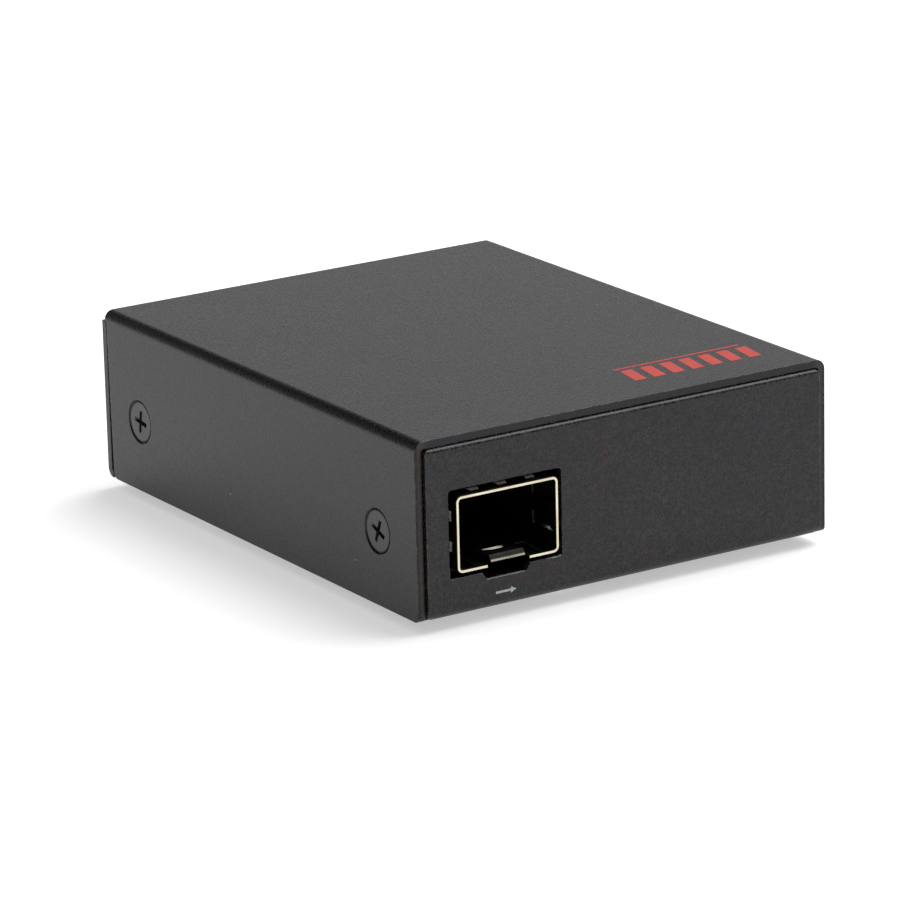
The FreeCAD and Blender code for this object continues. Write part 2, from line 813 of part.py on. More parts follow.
def module_contact(upper):
    """Contact of one row in the card slot, as a strip's section corners."""
    front = connector_front()
    back = front + connector_depth
    centre, half = board_top + card_slot_centre, card_slot_height / 2
    foot = board_top + seat_gap
    inset, slope, toe = module_contact_inset, module_contact_slope, module_contact_toe
    if upper:
        run = centre + half + module_contact_lift
        route = [(front + inset + slope, run), (back - inset - slope, run),
                 (back - inset, foot), (back + toe, foot)]
    else:
        run = centre - half - module_contact_sheet * 1.5
        route = [(front - toe, foot), (front + inset - slope, foot), (front + inset, run),
                 (back - module_contact_end, run)]
    return folded(route, module_contact_sheet)


def contact_columns():
    middle = (module_contacts_per_row - 1) / 2
    return [cage_x + (i - middle) * module_contact_pitch for i in range(module_contacts_per_row)]


def module_connector():
    front = connector_front()
    back = front + connector_depth
    low = board_top + seat_gap
    half = connector_width / 2
    body = extruded(rounded_rectangle(cage_x - half, cage_x + half, low, low + connector_height,
                                      connector_corner), "xz", front, back)
    centre, half = board_top + card_slot_centre, card_slot_height / 2
    cuts = [box(cage_x - card_slot_width / 2, cage_x + card_slot_width / 2, front - beyond,
                front + card_slot_depth, centre - half, centre + half)]
    under, over = centre - half - module_groove_depth, centre + half + module_groove_depth
    rear_groove = back - module_contact_inset - 2 * module_contact_slope - module_groove_room
    front_groove = front + module_contact_inset + module_groove_room
    half = module_contact_width / 2 + module_contact_gap
    for x in contact_columns():
        cuts.append(box(x - half, x + half, front - beyond, rear_groove + module_groove_room,
                        under, over))
        cuts.append(box(x - half, x + half, rear_groove, back + beyond, low - beyond, over))
        cuts.append(box(x - half, x + half, front - beyond, front_groove, low - beyond, centre))
    return body.cut(cuts)


def module_contacts():
    strips = []
    half = module_contact_width / 2
    for x in contact_columns():
        for upper in (True, False):
            strips.append(extruded(module_contact(upper), "yz", x - half, x + half))
    return Part.makeCompound(strips)


# ---------------------------------------------------------------- network jack
def jack_peg_places():
    y = jack_front - jack_peg_place
    return [(jack_x + side * jack_peg_spacing / 2, y) for side in (-1, 1)]


def jack_tail_places():
    middle = (jack_contact_count - 1) / 2
    return [(jack_x + (i - middle) * jack_contact_pitch, jack_back + jack_contact_rows[1 - i % 2])
            for i in range(jack_contact_count)]


def shield_tail_places():
    x = (jack_width - jack_sheet) / 2
    return [(jack_x + side * x, jack_front - shield_tail_place) for side in (-1, 1)]


def network_jack_housing():
    half = jack_width / 2 - jack_sheet - fit_gap
    low = board_top
    high = board_top + jack_height - jack_sheet - fit_gap
    body = box(jack_x - half, jack_x + half, jack_back + jack_sheet + fit_gap, jack_face, low,
               high)
    mouth = jack_face + beyond
    cavity_low = low + plug_floor
    cavity_high = cavity_low + plug_height
    channel_high = cavity_high + latch_channel_height
    cuts = [box(jack_x - plug_width / 2, jack_x + plug_width / 2, jack_face - plug_depth, mouth,
                cavity_low, cavity_high),
            box(jack_x - latch_channel_width / 2, jack_x + latch_channel_width / 2,
                jack_face - plug_depth, mouth, cavity_high - jack_sheet, channel_high),
            box(jack_x - latch_notch_width / 2, jack_x + latch_notch_width / 2,
                jack_face - latch_notch_length, mouth, channel_high - jack_sheet,
                channel_high + latch_notch_height)]
    groove = jack_contact_size / 2 + jack_contact_gap
    turn = groove + jack_contact_gap
    groove_low = low + jack_contact_run - jack_contact_gap
    for x, y in jack_tail_places():
        cuts.append(box(x - groove, x + groove, y - turn, jack_face - jack_groove_end,
                        groove_low, cavity_low + jack_contact_gap))
        cuts.append(box(x - groove, x + groove, y - turn, y + turn, low - beyond,
                        groove_low + jack_contact_size))
    cuts += [jack_light(side, fit_gap, beyond) for side in (-1, 1)]
    low = board_low - tail_reach
    pegs = [cylinder(jack_peg_radius, V(x, y, low), Z_AXIS, board_top + jack_sheet - low)
            for x, y in jack_peg_places()]
    return fused([body.cut(cuts)] + pegs)


def jack_light(side, gap=0, past=0):
    """Square lens in an upper corner of the jack's face."""
    half_w, half_h = jack_light_width / 2, jack_light_height / 2
    x = jack_x + side * (jack_width / 2 - jack_sheet - jack_light_side - half_w)
    z = board_top + jack_height - jack_sheet - jack_light_top - half_h
    return box(x - half_w - gap, x + half_w + gap, jack_face - jack_light_depth - gap,
               jack_face + past, z - half_h - gap, z + half_h + gap)


def network_jack_shield():
    half = jack_width / 2
    low, high = board_top + seat_gap, board_top + jack_height
    outer = box(jack_x - half, jack_x + half, jack_back, jack_front, low, high)
    outer = round_edges(outer, jack_corner,
                        lambda b: b.YLength > jack_depth / 2 and b.ZMin > high - 0.01)
    inner = box(jack_x - half + jack_sheet, jack_x + half - jack_sheet, jack_back + jack_sheet,
                jack_front + beyond, low - beyond, high - jack_sheet)
    shell = outer.cut(inner)
    tongues, windows = [], []
    half = jack_finger_width / 2 + jack_finger_gap
    window = box(-half, half, -jack_finger_root - jack_finger_length - jack_finger_gap,
                 -jack_finger_root - jack_finger_gap, -2 * jack_sheet, jack_sheet)
    for place, turn in jack_finger_places():
        windows.append(put_on_wall(window, place, turn, jack_front))
        tongues.append(put_on_wall(jack_finger(), place, turn, jack_front))
    tails = [box(x - jack_sheet / 2, x + jack_sheet / 2, y - shield_tail / 2, y + shield_tail / 2,
                 board_low - tail_reach, low + jack_sheet)
             for x, y in shield_tail_places()]
    return fused([shell.cut(windows)] + tongues + tails)


def jack_finger():
    """Ground finger of the shield: it starts near the front rim and goes back along -Y."""
    start = -jack_finger_root
    route = [(start - jack_finger_length, 0), (start - jack_finger_length / 2, jack_finger_rise),
             (start, -jack_sheet)]
    return extruded(folded(route, jack_sheet * 0.8, spring_bend), "yz", -jack_finger_width / 2,
                    jack_finger_width / 2)


def jack_finger_places():
    high = board_top + jack_height
    places = [(V(jack_x + side * jack_finger_spacing / 2, 0, high), 0) for side in (-1, 1)]
    for side, turn in ((-1, -90), (1, 90)):
        places.append((V(jack_x + side * jack_width / 2, 0, board_top + jack_height / 2), turn))
    return places


def network_jack_contacts():
    """Eight sprung wires: down through the board at one end, sloping up into the socket."""
    size = jack_contact_size
    run = board_top + jack_contact_run
    turn = jack_face - jack_contact_turn
    wires = []
    for x, y in jack_tail_places():
        back = y - size / 2
        route = [(jack_face - jack_contact_spring, run + jack_contact_rise),
                 (turn + size, run + 3 * size), (turn, run + size), (back, run + size),
                 (back, board_low - tail_reach)]
        wires.append(extruded(folded(route, size), "yz", x - size / 2, x + size / 2))
    return Part.makeCompound(wires)


# ---------------------------------------------------------------- power inlet
def inlet_tails():
    """Tails of the pin, the spring and the third terminal: x, y, width and length."""
    pin, spring, side = [inlet_back + place for place in inlet_tail_places]
    wide, thin = inlet_tail_width, inlet_tail_sheet
    return [(inlet_x, pin, wide, thin), (inlet_x, spring, wide, thin),
            (inlet_x - inlet_side_reach, side, thin, wide)]


def power_inlet_body():
    half = inlet_width / 2
    front = rear_inside - inlet_panel_gap
    low, high = board_top, board_top + inlet_body_height
    body = box(inlet_x - half, inlet_x + half, inlet_back, front, low, high)
    body = round_edges(body, inlet_corner,
                       lambda b: b.YLength > inlet_depth / 2 and b.ZMin > high - 0.01)
    nose = cylinder(inlet_nose_radius, V(inlet_x, front - sheet, inlet_z), Y_AXIS,
                    inlet_mouth - front + sheet)
    bore = cylinder(inlet_bore, V(inlet_x, inlet_mouth - inlet_bore_depth, inlet_z), Y_AXIS,
                    inlet_bore_depth + beyond)
    lead_in = revolved([(0, -fit_gap), (inlet_bore + inlet_lead_in, -fit_gap),
                        (inlet_bore, inlet_lead_in), (0, inlet_lead_in)],
                       V(inlet_x, inlet_mouth, inlet_z), Y_AXIS * -1)
    pin_hole = cylinder(inlet_pin_root + fit_gap, V(inlet_x, inlet_back - beyond, inlet_z),
                        Y_AXIS, inlet_depth)
    slot = inlet_slot_width / 2
    spring_slot = box(inlet_x - slot, inlet_x + slot, inlet_back + inlet_slot_start,
                      inlet_mouth - inlet_slot_end, low - beyond,
                      inlet_z - inlet_bore + inlet_slot_rise)
    slot = inlet_plate_width / 2 + inlet_slot_gap
    plate_slot = box(inlet_x - slot, inlet_x + slot, inlet_back - beyond,
                     inlet_back + inlet_tail_places[0] + inlet_tail_sheet / 2, low - beyond,
                     inlet_z + inlet_plate_rise + inlet_slot_gap)
    x, y, thin, wide = inlet_tails()[2]
    slot = wide / 2 + inlet_slot_gap
    side_slot = box(inlet_x - half - beyond, x + thin / 2 + fit_gap, y - slot, y + slot,
                    low - beyond, low + inlet_side_height + inlet_slot_gap)
    return body.fuse(nose).removeSplitter().cut(
        [bore, lead_in, pin_hole, spring_slot, plate_slot, side_slot])


def power_inlet_pin():
    """Centre pin with its tail behind the body."""
    start = inlet_back + inlet_pin_start
    length = inlet_mouth - inlet_pin_recess - start
    root = inlet_mouth - inlet_bore_depth - start
    tip = inlet_pin_tip
    profile = [(0, 0), (inlet_pin_root, 0), (inlet_pin_root, root), (inlet_pin_radius, root),
               (inlet_pin_radius, length - tip), (inlet_pin_radius - tip, length), (0, length)]
    pin = revolved(profile, V(inlet_x, start, inlet_z), Y_AXIS)
    x, y, wide, thin = inlet_tails()[0]
    low, high = y - thin / 2, y + thin / 2
    plate = box(x - inlet_plate_width / 2, x + inlet_plate_width / 2, low, high,
                board_top + thin, inlet_z + inlet_plate_rise)
    tail = box(x - wide / 2, x + wide / 2, low, high, board_low - tail_reach,
               board_top + 2 * thin)
    return fused([pin, plate, tail])


def power_inlet_spring():
    """Side spring that bears on the plug's sleeve from below."""
    x, y, wide, thin = inlet_tails()[1]
    floor = inlet_z - inlet_bore
    end = inlet_mouth - inlet_slot_end - inlet_spring_end
    route = [(y + thin / 2, board_low - tail_reach), (y + thin / 2, floor - inlet_spring_fall),
             (y + inlet_spring_crest, floor + inlet_spring_rise),
             (end, floor - inlet_spring_fall)]
    return extruded(folded(route, thin), "yz", x - wide / 2, x + wide / 2)


def power_inlet_tail():
    """Side tail of the inlet's third terminal."""
    x, y, wide, long = inlet_tails()[2]
    return box(x - wide / 2, x + wide / 2, y - long / 2, y + long / 2, board_low - tail_reach,
               board_top + inlet_side_height)


# ---------------------------------------------------------------- indicator lights
def lamp_lead_places():
    return [(x + side * lead_spread, lamp_back - lead_drop) for x in lamp_xs for side in (-1, 1)]


def indicator_lamp(x):
    """Round lens with its flange, axis along Y and dome at the rear."""
    angles = [math.radians(a) for a in (0, 30, 60)]
    crown = lamp_length - lamp_radius * math.sin(angles[-1])
    dome = [(lamp_radius * math.cos(a), crown + lamp_radius * math.sin(a)) for a in angles]
    profile = [(0, 0), (lamp_flange, 0), (lamp_flange, lamp_flange_depth),
               (lamp_radius, lamp_flange_depth)] + dome + [(0, lamp_length)]
    return revolved(profile, V(x, lamp_back, lamp_z), Y_AXIS)


def indicator_holder():
    """Moulded block that holds the three lamps level behind the panel."""
    high = lamp_z + holder_margin
    body = box(lamp_xs[0] - holder_margin, lamp_xs[-1] + holder_margin, holder_front,
               rear_inside - holder_panel_gap, board_top, high)
    body = chamfered(body, holder_edge, lambda b: b.ZMin > high - 0.01)
    cuts = []
    flange = lamp_flange + lamp_seat_gap
    room = lead_size / 2 + slot_gap
    for x in lamp_xs:
        cuts.append(box(x - flange, x + flange, lamp_back - lead_drop - room,
                        lamp_back + lamp_flange_depth + lamp_seat_gap, board_top - beyond,
                        lamp_z + flange))
        cuts.append(cylinder(lamp_radius + lamp_seat_gap, V(x, lamp_back, lamp_z), Y_AXIS,
                             lamp_length))
    return body.cut(cuts)


def indicator_leads():
    """Square leads: out of the back of each lamp, then down through the board."""
    wires = []
    end = lamp_back - fit_gap
    half = lead_size / 2
    for x, y in lamp_lead_places():
        route = [(end, lamp_z + half), (y - half, lamp_z + half),
                 (y - half, board_low - tail_reach)]
        wires.append(extruded(folded(route, lead_size), "yz", x - half, x + half))
    return Part.makeCompound(wires)


# ---------------------------------------------------------------- parts on the board
def gull_wing_chip(place, length, width, height, pins, pitch, turned=False):
    """Moulded chip with a row of bent leads along each long side."""
    low = board_top + chip_stand
    body = box(-length / 2, length / 2, -width / 2, width / 2, low, low + height)
    body = chamfered(body, chip_edge, lambda b: b.ZMin > low + height - 0.01)
    pieces = [body]
    middle = (pins / 2 - 1) / 2
    root, knee = low + height * 0.45, width / 2 + chip_lead_reach * 0.3
    foot = board_top + seat_gap
    route = [(width / 2 - chip_lead_sheet, root), (knee, root), (knee + chip_lead_sheet, foot),
             (width / 2 + chip_lead_reach, foot)]
    half = chip_lead_width / 2
    for i in range(pins // 2):
        lead = extruded(folded(route, chip_lead_sheet), "yz", (i - middle) * pitch - half,
                        (i - middle) * pitch + half)
        pieces += [lead, lead.mirror(V(0, 0, 0), Y_AXIS)]
    chip = fused(pieces)
    if turned:
        chip.rotate(V(0, 0, 0), Z_AXIS, 90)
    return moved(chip, place[0], place[1])


def small_chip(place, turned=False):
    return gull_wing_chip(place, small_chip_length, small_chip_width, small_chip_height, 8,
                          small_chip_pitch, turned)


def converter_chip():
    """Flat leadless chip with one corner cut off as the pin-one mark."""
    low, half = board_top + seat_gap, converter_size / 2
    nick = converter_size / 10
    x0, x1, y0, y1 = middle_x - half, middle_x + half, converter_y - half, converter_y + half
    return polygon([(x0 + nick, y0), (x1, y0), (x1, y1), (x0, y1), (x0, y0 + nick)], "xy", low,
                   low + converter_height)


def can_capacitor(y, radius, height):
    """Aluminium can, rolled in at its foot, on a moulded square base."""
    low = board_top + seat_gap
    half = radius + capacitor_base_rim
    nick = half / 4
    x0, x1, y0, y1 = supply_x - half, supply_x + half, y - half, y + half
    base = polygon([(x0, y0), (x1 - nick, y0), (x1, y0 + nick), (x1, y1 - nick),
                    (x1 - nick, y1), (x0, y1)], "xy", low, low + capacitor_base)
    neck_radius, neck = radius - capacitor_neck_slope, capacitor_base + capacitor_neck
    profile = [(0, 0), (neck_radius, 0), (neck_radius, neck),
               (radius, neck + capacitor_neck_slope), (radius, height), (0, height)]
    return base.fuse(revolved(profile, V(supply_x, y, low), Z_AXIS)).removeSplitter()


def power_inductor():
    """Shielded drum inductor with a square, round-cornered body."""
    low, half = board_top + seat_gap, inductor_size / 2
    body = extruded(rounded_rectangle(supply_x - half, supply_x + half, inductor_y - half,
                                      inductor_y + half, half * 0.45), "xy", low,
                    low + inductor_height)
    dish = cylinder(half * 0.75, V(supply_x, inductor_y, low + inductor_height * 0.9), Z_AXIS,
                    inductor_height)
    return body.cut(dish)


def crystal_can():
    """Low metal can with a soldered flange."""
    low = board_top + seat_gap
    half_x, half_y = crystal_length / 2, crystal_width / 2
    flange = extruded(rounded_rectangle(middle_x - half_x, middle_x + half_x,
                                        crystal_y - half_y, crystal_y + half_y,
                                        half_y * 0.95), "xy", low, low + crystal_flange)
    half_x, half_y = half_x - crystal_flange, half_y - crystal_flange
    can = extruded(rounded_rectangle(middle_x - half_x, middle_x + half_x,
                                     crystal_y - half_y, crystal_y + half_y,
                                     half_y * 0.95), "xy", low, low + crystal_height)
    return flange.fuse(can).removeSplitter()


def chip_parts():
    """Small resistors and capacitors in columns beside the chips."""
    beside = converter_size / 2 + chip_column_gap + chip_part_length / 2
    columns = [(middle_x - beside, converter_y, 5), (middle_x + beside, converter_y, 5)]
    low = board_top + seat_gap
    blocks = []
    for x, y, count in columns:
        for i in range(count):
            low_y = y + (i - (count - 1) / 2) * chip_part_pitch - chip_part_width / 2
            blocks.append(box(x - chip_part_length / 2, x + chip_part_length / 2, low_y,
                              low_y + chip_part_width, low, low + chip_part_height))
    return Part.makeCompound(blocks)


# ---------------------------------------------------------------- the assembly
def build():
    nodes = {
        "top_cover": top_cover(),
        "base_tray": base_tray(),
        "cover_screws": cover_screws(),
        "circuit_board": circuit_board(),
        "board_standoffs": Part.makeCompound([standoff(p) for p in standoff_places()]),
        "board_screws": Part.makeCompound([board_screw(p) for p in standoff_places()]),
        "module_cage": module_cage(),
        "module_connector": module_connector(),
        "module_contacts": module_contacts(),
        "network_jack_housing": network_jack_housing(),
        "network_jack_shield": network_jack_shield(),
        "network_jack_contacts": network_jack_contacts(),
        "network_jack_light_left": jack_light(1),
        "network_jack_light_right": jack_light(-1),
        "power_inlet_body": power_inlet_body(),
        "power_inlet_pin": power_inlet_pin(),
        "power_inlet_spring": power_inlet_spring(),
        "power_inlet_tail": power_inlet_tail(),
        "indicator_holder": indicator_holder(),
        "indicator_leads": indicator_leads(),
        "converter_chip": converter_chip(),
        "memory_chip": small_chip((middle_x, memory_y)),
        "line_transformer": gull_wing_chip((jack_x, transformer_y), transformer_length,
                                           transformer_width, transformer_height, 16,
                                           transformer_pitch),
        "regulator_chip": small_chip((supply_x, regulator_y), turned=True),
        "power_inductor": power_inductor(),
        "input_capacitor": can_capacitor(input_capacitor_y, input_capacitor_radius,
                                         input_capacitor_height),
        "output_capacitor": can_capacitor(output_capacitor_y, output_capacitor_radius,
                                          output_capacitor_height),
        "crystal_can": crystal_can(),
        "chip_parts": chip_parts(),
    }
    for name, x in zip(lamp_names, lamp_xs):
        nodes["indicator_" + name] = indicator_lamp(x)
    for side_name, side in (("left", -1), ("right", 1)):
        for row_name, y in zip(("front", "rear"), foot_rows):
            nodes["foot_%s_%s" % (row_name, side_name)] = rubber_foot(side * foot_x, y)
    return nodes


def main():
    os.makedirs("parts", exist_ok=True)
    for name, shape in build().items():
        shape.exportStep(os.path.join("parts", name + ".step"))


main()
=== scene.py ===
"""Dresses the fibre media converter: finishes, printed marks, floor, lamp and camera."""

import json
import math

import bmesh
import bpy
from mathutils import Matrix, Vector

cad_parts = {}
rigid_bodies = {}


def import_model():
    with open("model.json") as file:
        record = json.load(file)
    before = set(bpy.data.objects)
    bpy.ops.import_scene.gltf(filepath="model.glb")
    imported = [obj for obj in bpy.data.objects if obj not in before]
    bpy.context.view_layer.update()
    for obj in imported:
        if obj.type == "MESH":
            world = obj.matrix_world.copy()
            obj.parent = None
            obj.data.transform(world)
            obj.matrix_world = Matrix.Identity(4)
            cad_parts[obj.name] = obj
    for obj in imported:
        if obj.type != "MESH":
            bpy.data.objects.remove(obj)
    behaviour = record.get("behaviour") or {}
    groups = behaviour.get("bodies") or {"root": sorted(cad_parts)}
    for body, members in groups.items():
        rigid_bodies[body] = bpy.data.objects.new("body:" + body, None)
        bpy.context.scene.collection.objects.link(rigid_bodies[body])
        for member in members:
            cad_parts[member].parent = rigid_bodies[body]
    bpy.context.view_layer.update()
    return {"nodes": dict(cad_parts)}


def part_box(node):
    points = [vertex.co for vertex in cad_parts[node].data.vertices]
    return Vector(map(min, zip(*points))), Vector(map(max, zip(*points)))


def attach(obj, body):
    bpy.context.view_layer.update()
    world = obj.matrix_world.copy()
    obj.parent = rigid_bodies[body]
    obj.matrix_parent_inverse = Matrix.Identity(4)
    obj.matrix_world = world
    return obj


bl_info = {
    "name": "Fibre media converter dresser",
    "version": (1, 0, 0),
    "blender": (4, 5, 0),
    "location": "View3D > Sidebar > Converter",
    "description": "Coats, prints and stages a small fibre media converter",
    "category": "Object",
}

MM = 0.001


def clear_startup_objects():
    for obj in list(bpy.data.objects):
        bpy.data.objects.remove(obj)


clear_startup_objects()
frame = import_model()
NODES = frame["nodes"]
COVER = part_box("top_cover")
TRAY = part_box("base_tray")
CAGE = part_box("module_cage")


# ---------------------------------------------------------------- settings
def length(name, description, default, low=0.0, high=0.2):
    return bpy.props.FloatProperty(name=name, description=description, default=default,
                                   min=low, max=high, unit="LENGTH", precision=5)


def share(name, description, default):
    return bpy.props.FloatProperty(name=name, description=description, default=default,
                                   min=0.0, max=1.0, subtype="FACTOR")


def colour(name, description, default):
    return bpy.props.FloatVectorProperty(name=name, description=description, default=default,
                                         min=0.0, max=1.0, size=3, subtype="COLOR")


class HousingSettings(bpy.types.PropertyGroup):
    coat: colour("Coat", "Colour of the powder coat", (0.0085, 0.0078, 0.0087))
    sheet: length("Sheet", "Thickness of the cover's sheet", 1.0 * MM)
    # The sill's depth and the colour after it paint a highlight along the front of the slot's
    # lower edge.
    sill: length("Sill", "How far the lower edge of the slot is rubbed", 0.4 * MM)
    sill_light: colour("Rubbed sill", "Colour of the slot's lower edge where it is rubbed",
                   (0.62, 0.62, 0.66))
    sheared: colour("Sheared edge", "Colour of the thin coat on the cover's side edges",
                    (0.034, 0.025, 0.020))
    # Colour of the coat's outward edges: partly wear, partly a painted highlight.
    worn_and_glint: colour("Worn edge", "Colour where the coat is rubbed thin", (0.26, 0.205, 0.17))
    grain: length("Grain", "Width of the coat's texture", 0.28 * MM)
    grain_depth: length("Grain depth", "Height of the coat's texture", 0.035 * MM)
    patch: length("Patch", "Width of the patches of tint in the coat", 0.9 * MM)
    roughness: share("Roughness", "How matt the coat is", 0.31)
    gloss: share("Gloss", "How strongly the coat mirrors the room", 0.335)
    edge: length("Edge softness", "Radius of the coat over cut edges", 0.2 * MM)


class MetalSettings(bpy.types.PropertyGroup):
    cage: colour("Cage plating", "Colour of the plated module cage", (0.74, 0.68, 0.53))
    # Painted shade: colour of the cage's sheet inside the slot and wherever the rim's colour is
    # not kept.
    cage_shade: colour("Cage inside", "Colour of the dull sheet inside the slot",
                        (0.026, 0.024, 0.022))
    # Painted glint on the ground fingers.
    glint: colour("Finger band", "Colour of the light band on the fingers round the cage",
                  (0.95, 0.86, 0.80))
    rim: length("Cage rim", "How far in from the front the cut edges are bright", 3.0 * MM)
    lip: length("Cage lip", "Depth of the bright strip round the cage's mouth", 0.2 * MM)
    cage_width: length("Cage width", "Width of the cage without its fingers", 14.8 * MM)
    finger_rise: length("Finger rise", "How far the fingers stand out from the cage", 0.62 * MM)
    jack: colour("Jack shield", "Colour of the tinned jack shield", (0.72, 0.72, 0.71))
    screw: colour("Black screws", "Colour of the blackened cover screws", (0.022, 0.021, 0.023))
    # Painted shade: the dark ring where a cover screw's head meets the cover.
    screw_ring_shade: length("Screw ring", "Width of the dark ring round a cover screw's head",
                       0.24 * MM)
    gold: colour("Contacts", "Colour of the gold-plated contacts", (0.83, 0.62, 0.25))
    joint: length("Solder joint", "Radius of the solder round a lead", 0.7 * MM)


class PlasticSettings(bpy.types.PropertyGroup):
    black: colour("Moulded black", "Colour of the moulded housings", (0.018, 0.018, 0.02))
    rubber: colour("Rubber", "Colour of the feet", (0.028, 0.027, 0.027))
    green: colour("Green lens", "Colour of the green lamps", (0.30, 0.62, 0.33))
    amber: colour("Amber lens", "Colour of the amber jack light", (0.85, 0.45, 0.10))
    board: colour("Board", "Colour of the solder mask", (0.012, 0.11, 0.05))


class MarkSettings(bpy.types.PropertyGroup):
    cover_ink: colour("Cover ink", "Colour of the mark on the cover", (0.60, 0.048, 0.035))
    panel_ink: colour("Panel ink", "Colour of the mark under the module slot",
                      (0.55, 0.60, 0.62))
    ink: length("Ink thickness", "How far the print stands on the coat", 0.012 * MM)
    bars: bpy.props.IntProperty(name="Bars", description="Number of bars on the cover",
                                default=7, min=1, max=40)
    bar_pitch: length("Bar pitch", "From one bar to the next", 2.95 * MM)
    bar_width: length("Bar width", "Width of a bar", 1.75 * MM)
    bar_length: length("Bar length", "Length of a bar", 4.6 * MM)
    bar_lean: length("Bar lean", "How far a bar leans to the side", 0.8 * MM)
    cover_side: length("Mark from the side", "First bar, from the cover's right side", 23.5 * MM)
    cover_front: length("Mark from the front", "Middle of the bars, from the front", 8.5 * MM)
    arrow_length: length("Arrow length", "Length of the arrow under the module slot", 3.0 * MM)
    arrow_head: length("Arrow head", "Length and width of the arrow's head", 0.8 * MM)
    arrow_shaft: length("Arrow shaft", "Width of the arrow's shaft", 0.3 * MM)
    arrow_side: length("Arrow from the side", "Middle of the arrow, from the cage's left side",
                       7.87 * MM)
    arrow_rise: length("Arrow rise", "Lower edge of the arrow's head, above the tray's floor",
                       1.6 * MM)


class StageSettings(bpy.types.PropertyGroup):
    floor: colour("Floor", "Colour of the floor", (0.86, 0.86, 0.86))
    room_light: bpy.props.FloatProperty(name="Room light", description="Light from all round",
                                        default=0.35, min=0.0, max=4.0)
    window: bpy.props.FloatProperty(name="Window", default=2.4, min=0.0, max=10.0,
                                    description="Strength of the window that gloss mirrors")
    floor_glow: share("Floor glow", "How far the floor outshines its light where it is seen",
                      0.45)
    lamp_light: bpy.props.FloatProperty(name="Lamp light", min=0.0, max=50.0,
                                        description="Power of the large soft lamp in watts",
                                        default=10.0)
    lamp_place: bpy.props.FloatVectorProperty(name="Lamp place", subtype="TRANSLATION", size=3,
                                              description="Where the soft lamp hangs",
                                              default=(0.52, 0.0, 0.86))
    lamp_size: length("Lamp size", "Width of the soft lamp", 1.1, high=5.0)
    azimuth: bpy.props.FloatProperty(name="Camera azimuth", subtype="ANGLE",
                                     description="Turn of the view about the upright",
                                     default=math.radians(32.391))
    elevation: bpy.props.FloatProperty(name="Camera elevation", subtype="ANGLE",
                                       description="Height of the view above the horizon",
                                       default=math.radians(16.812))
    roll: bpy.props.FloatProperty(name="Camera roll", subtype="ANGLE",
                                  description="Turn of the camera about its own axis",
                                  default=math.radians(-1.398))
    stand: bpy.props.FloatVectorProperty(name="Camera place", subtype="TRANSLATION",
                                         description="Where the camera stands", size=3,
                                         default=(-0.3456, -0.54283, 0.2033))
    lens: bpy.props.FloatProperty(name="Lens", description="Focal length in millimetres",
                                  default=206.04, min=10.0, max=400.0)


SETTINGS = (
    ("housing", HousingSettings),
    ("metal", MetalSettings),
    ("plastic", PlasticSettings),
    ("marks", MarkSettings),
    ("stage", StageSettings),
)


def settings(name):
    return getattr(bpy.context.scene, "converter_" + name)


def scaled(tint, factors):
    return tuple(min(1.0, t * f) for t, f in zip(tint, factors))


def shade(tint, factor, lift=0.0):
    return tuple(min(1.0, t * factor + lift) for t in tint)


def middle(box):
    return (box[0] + box[1]) / 2


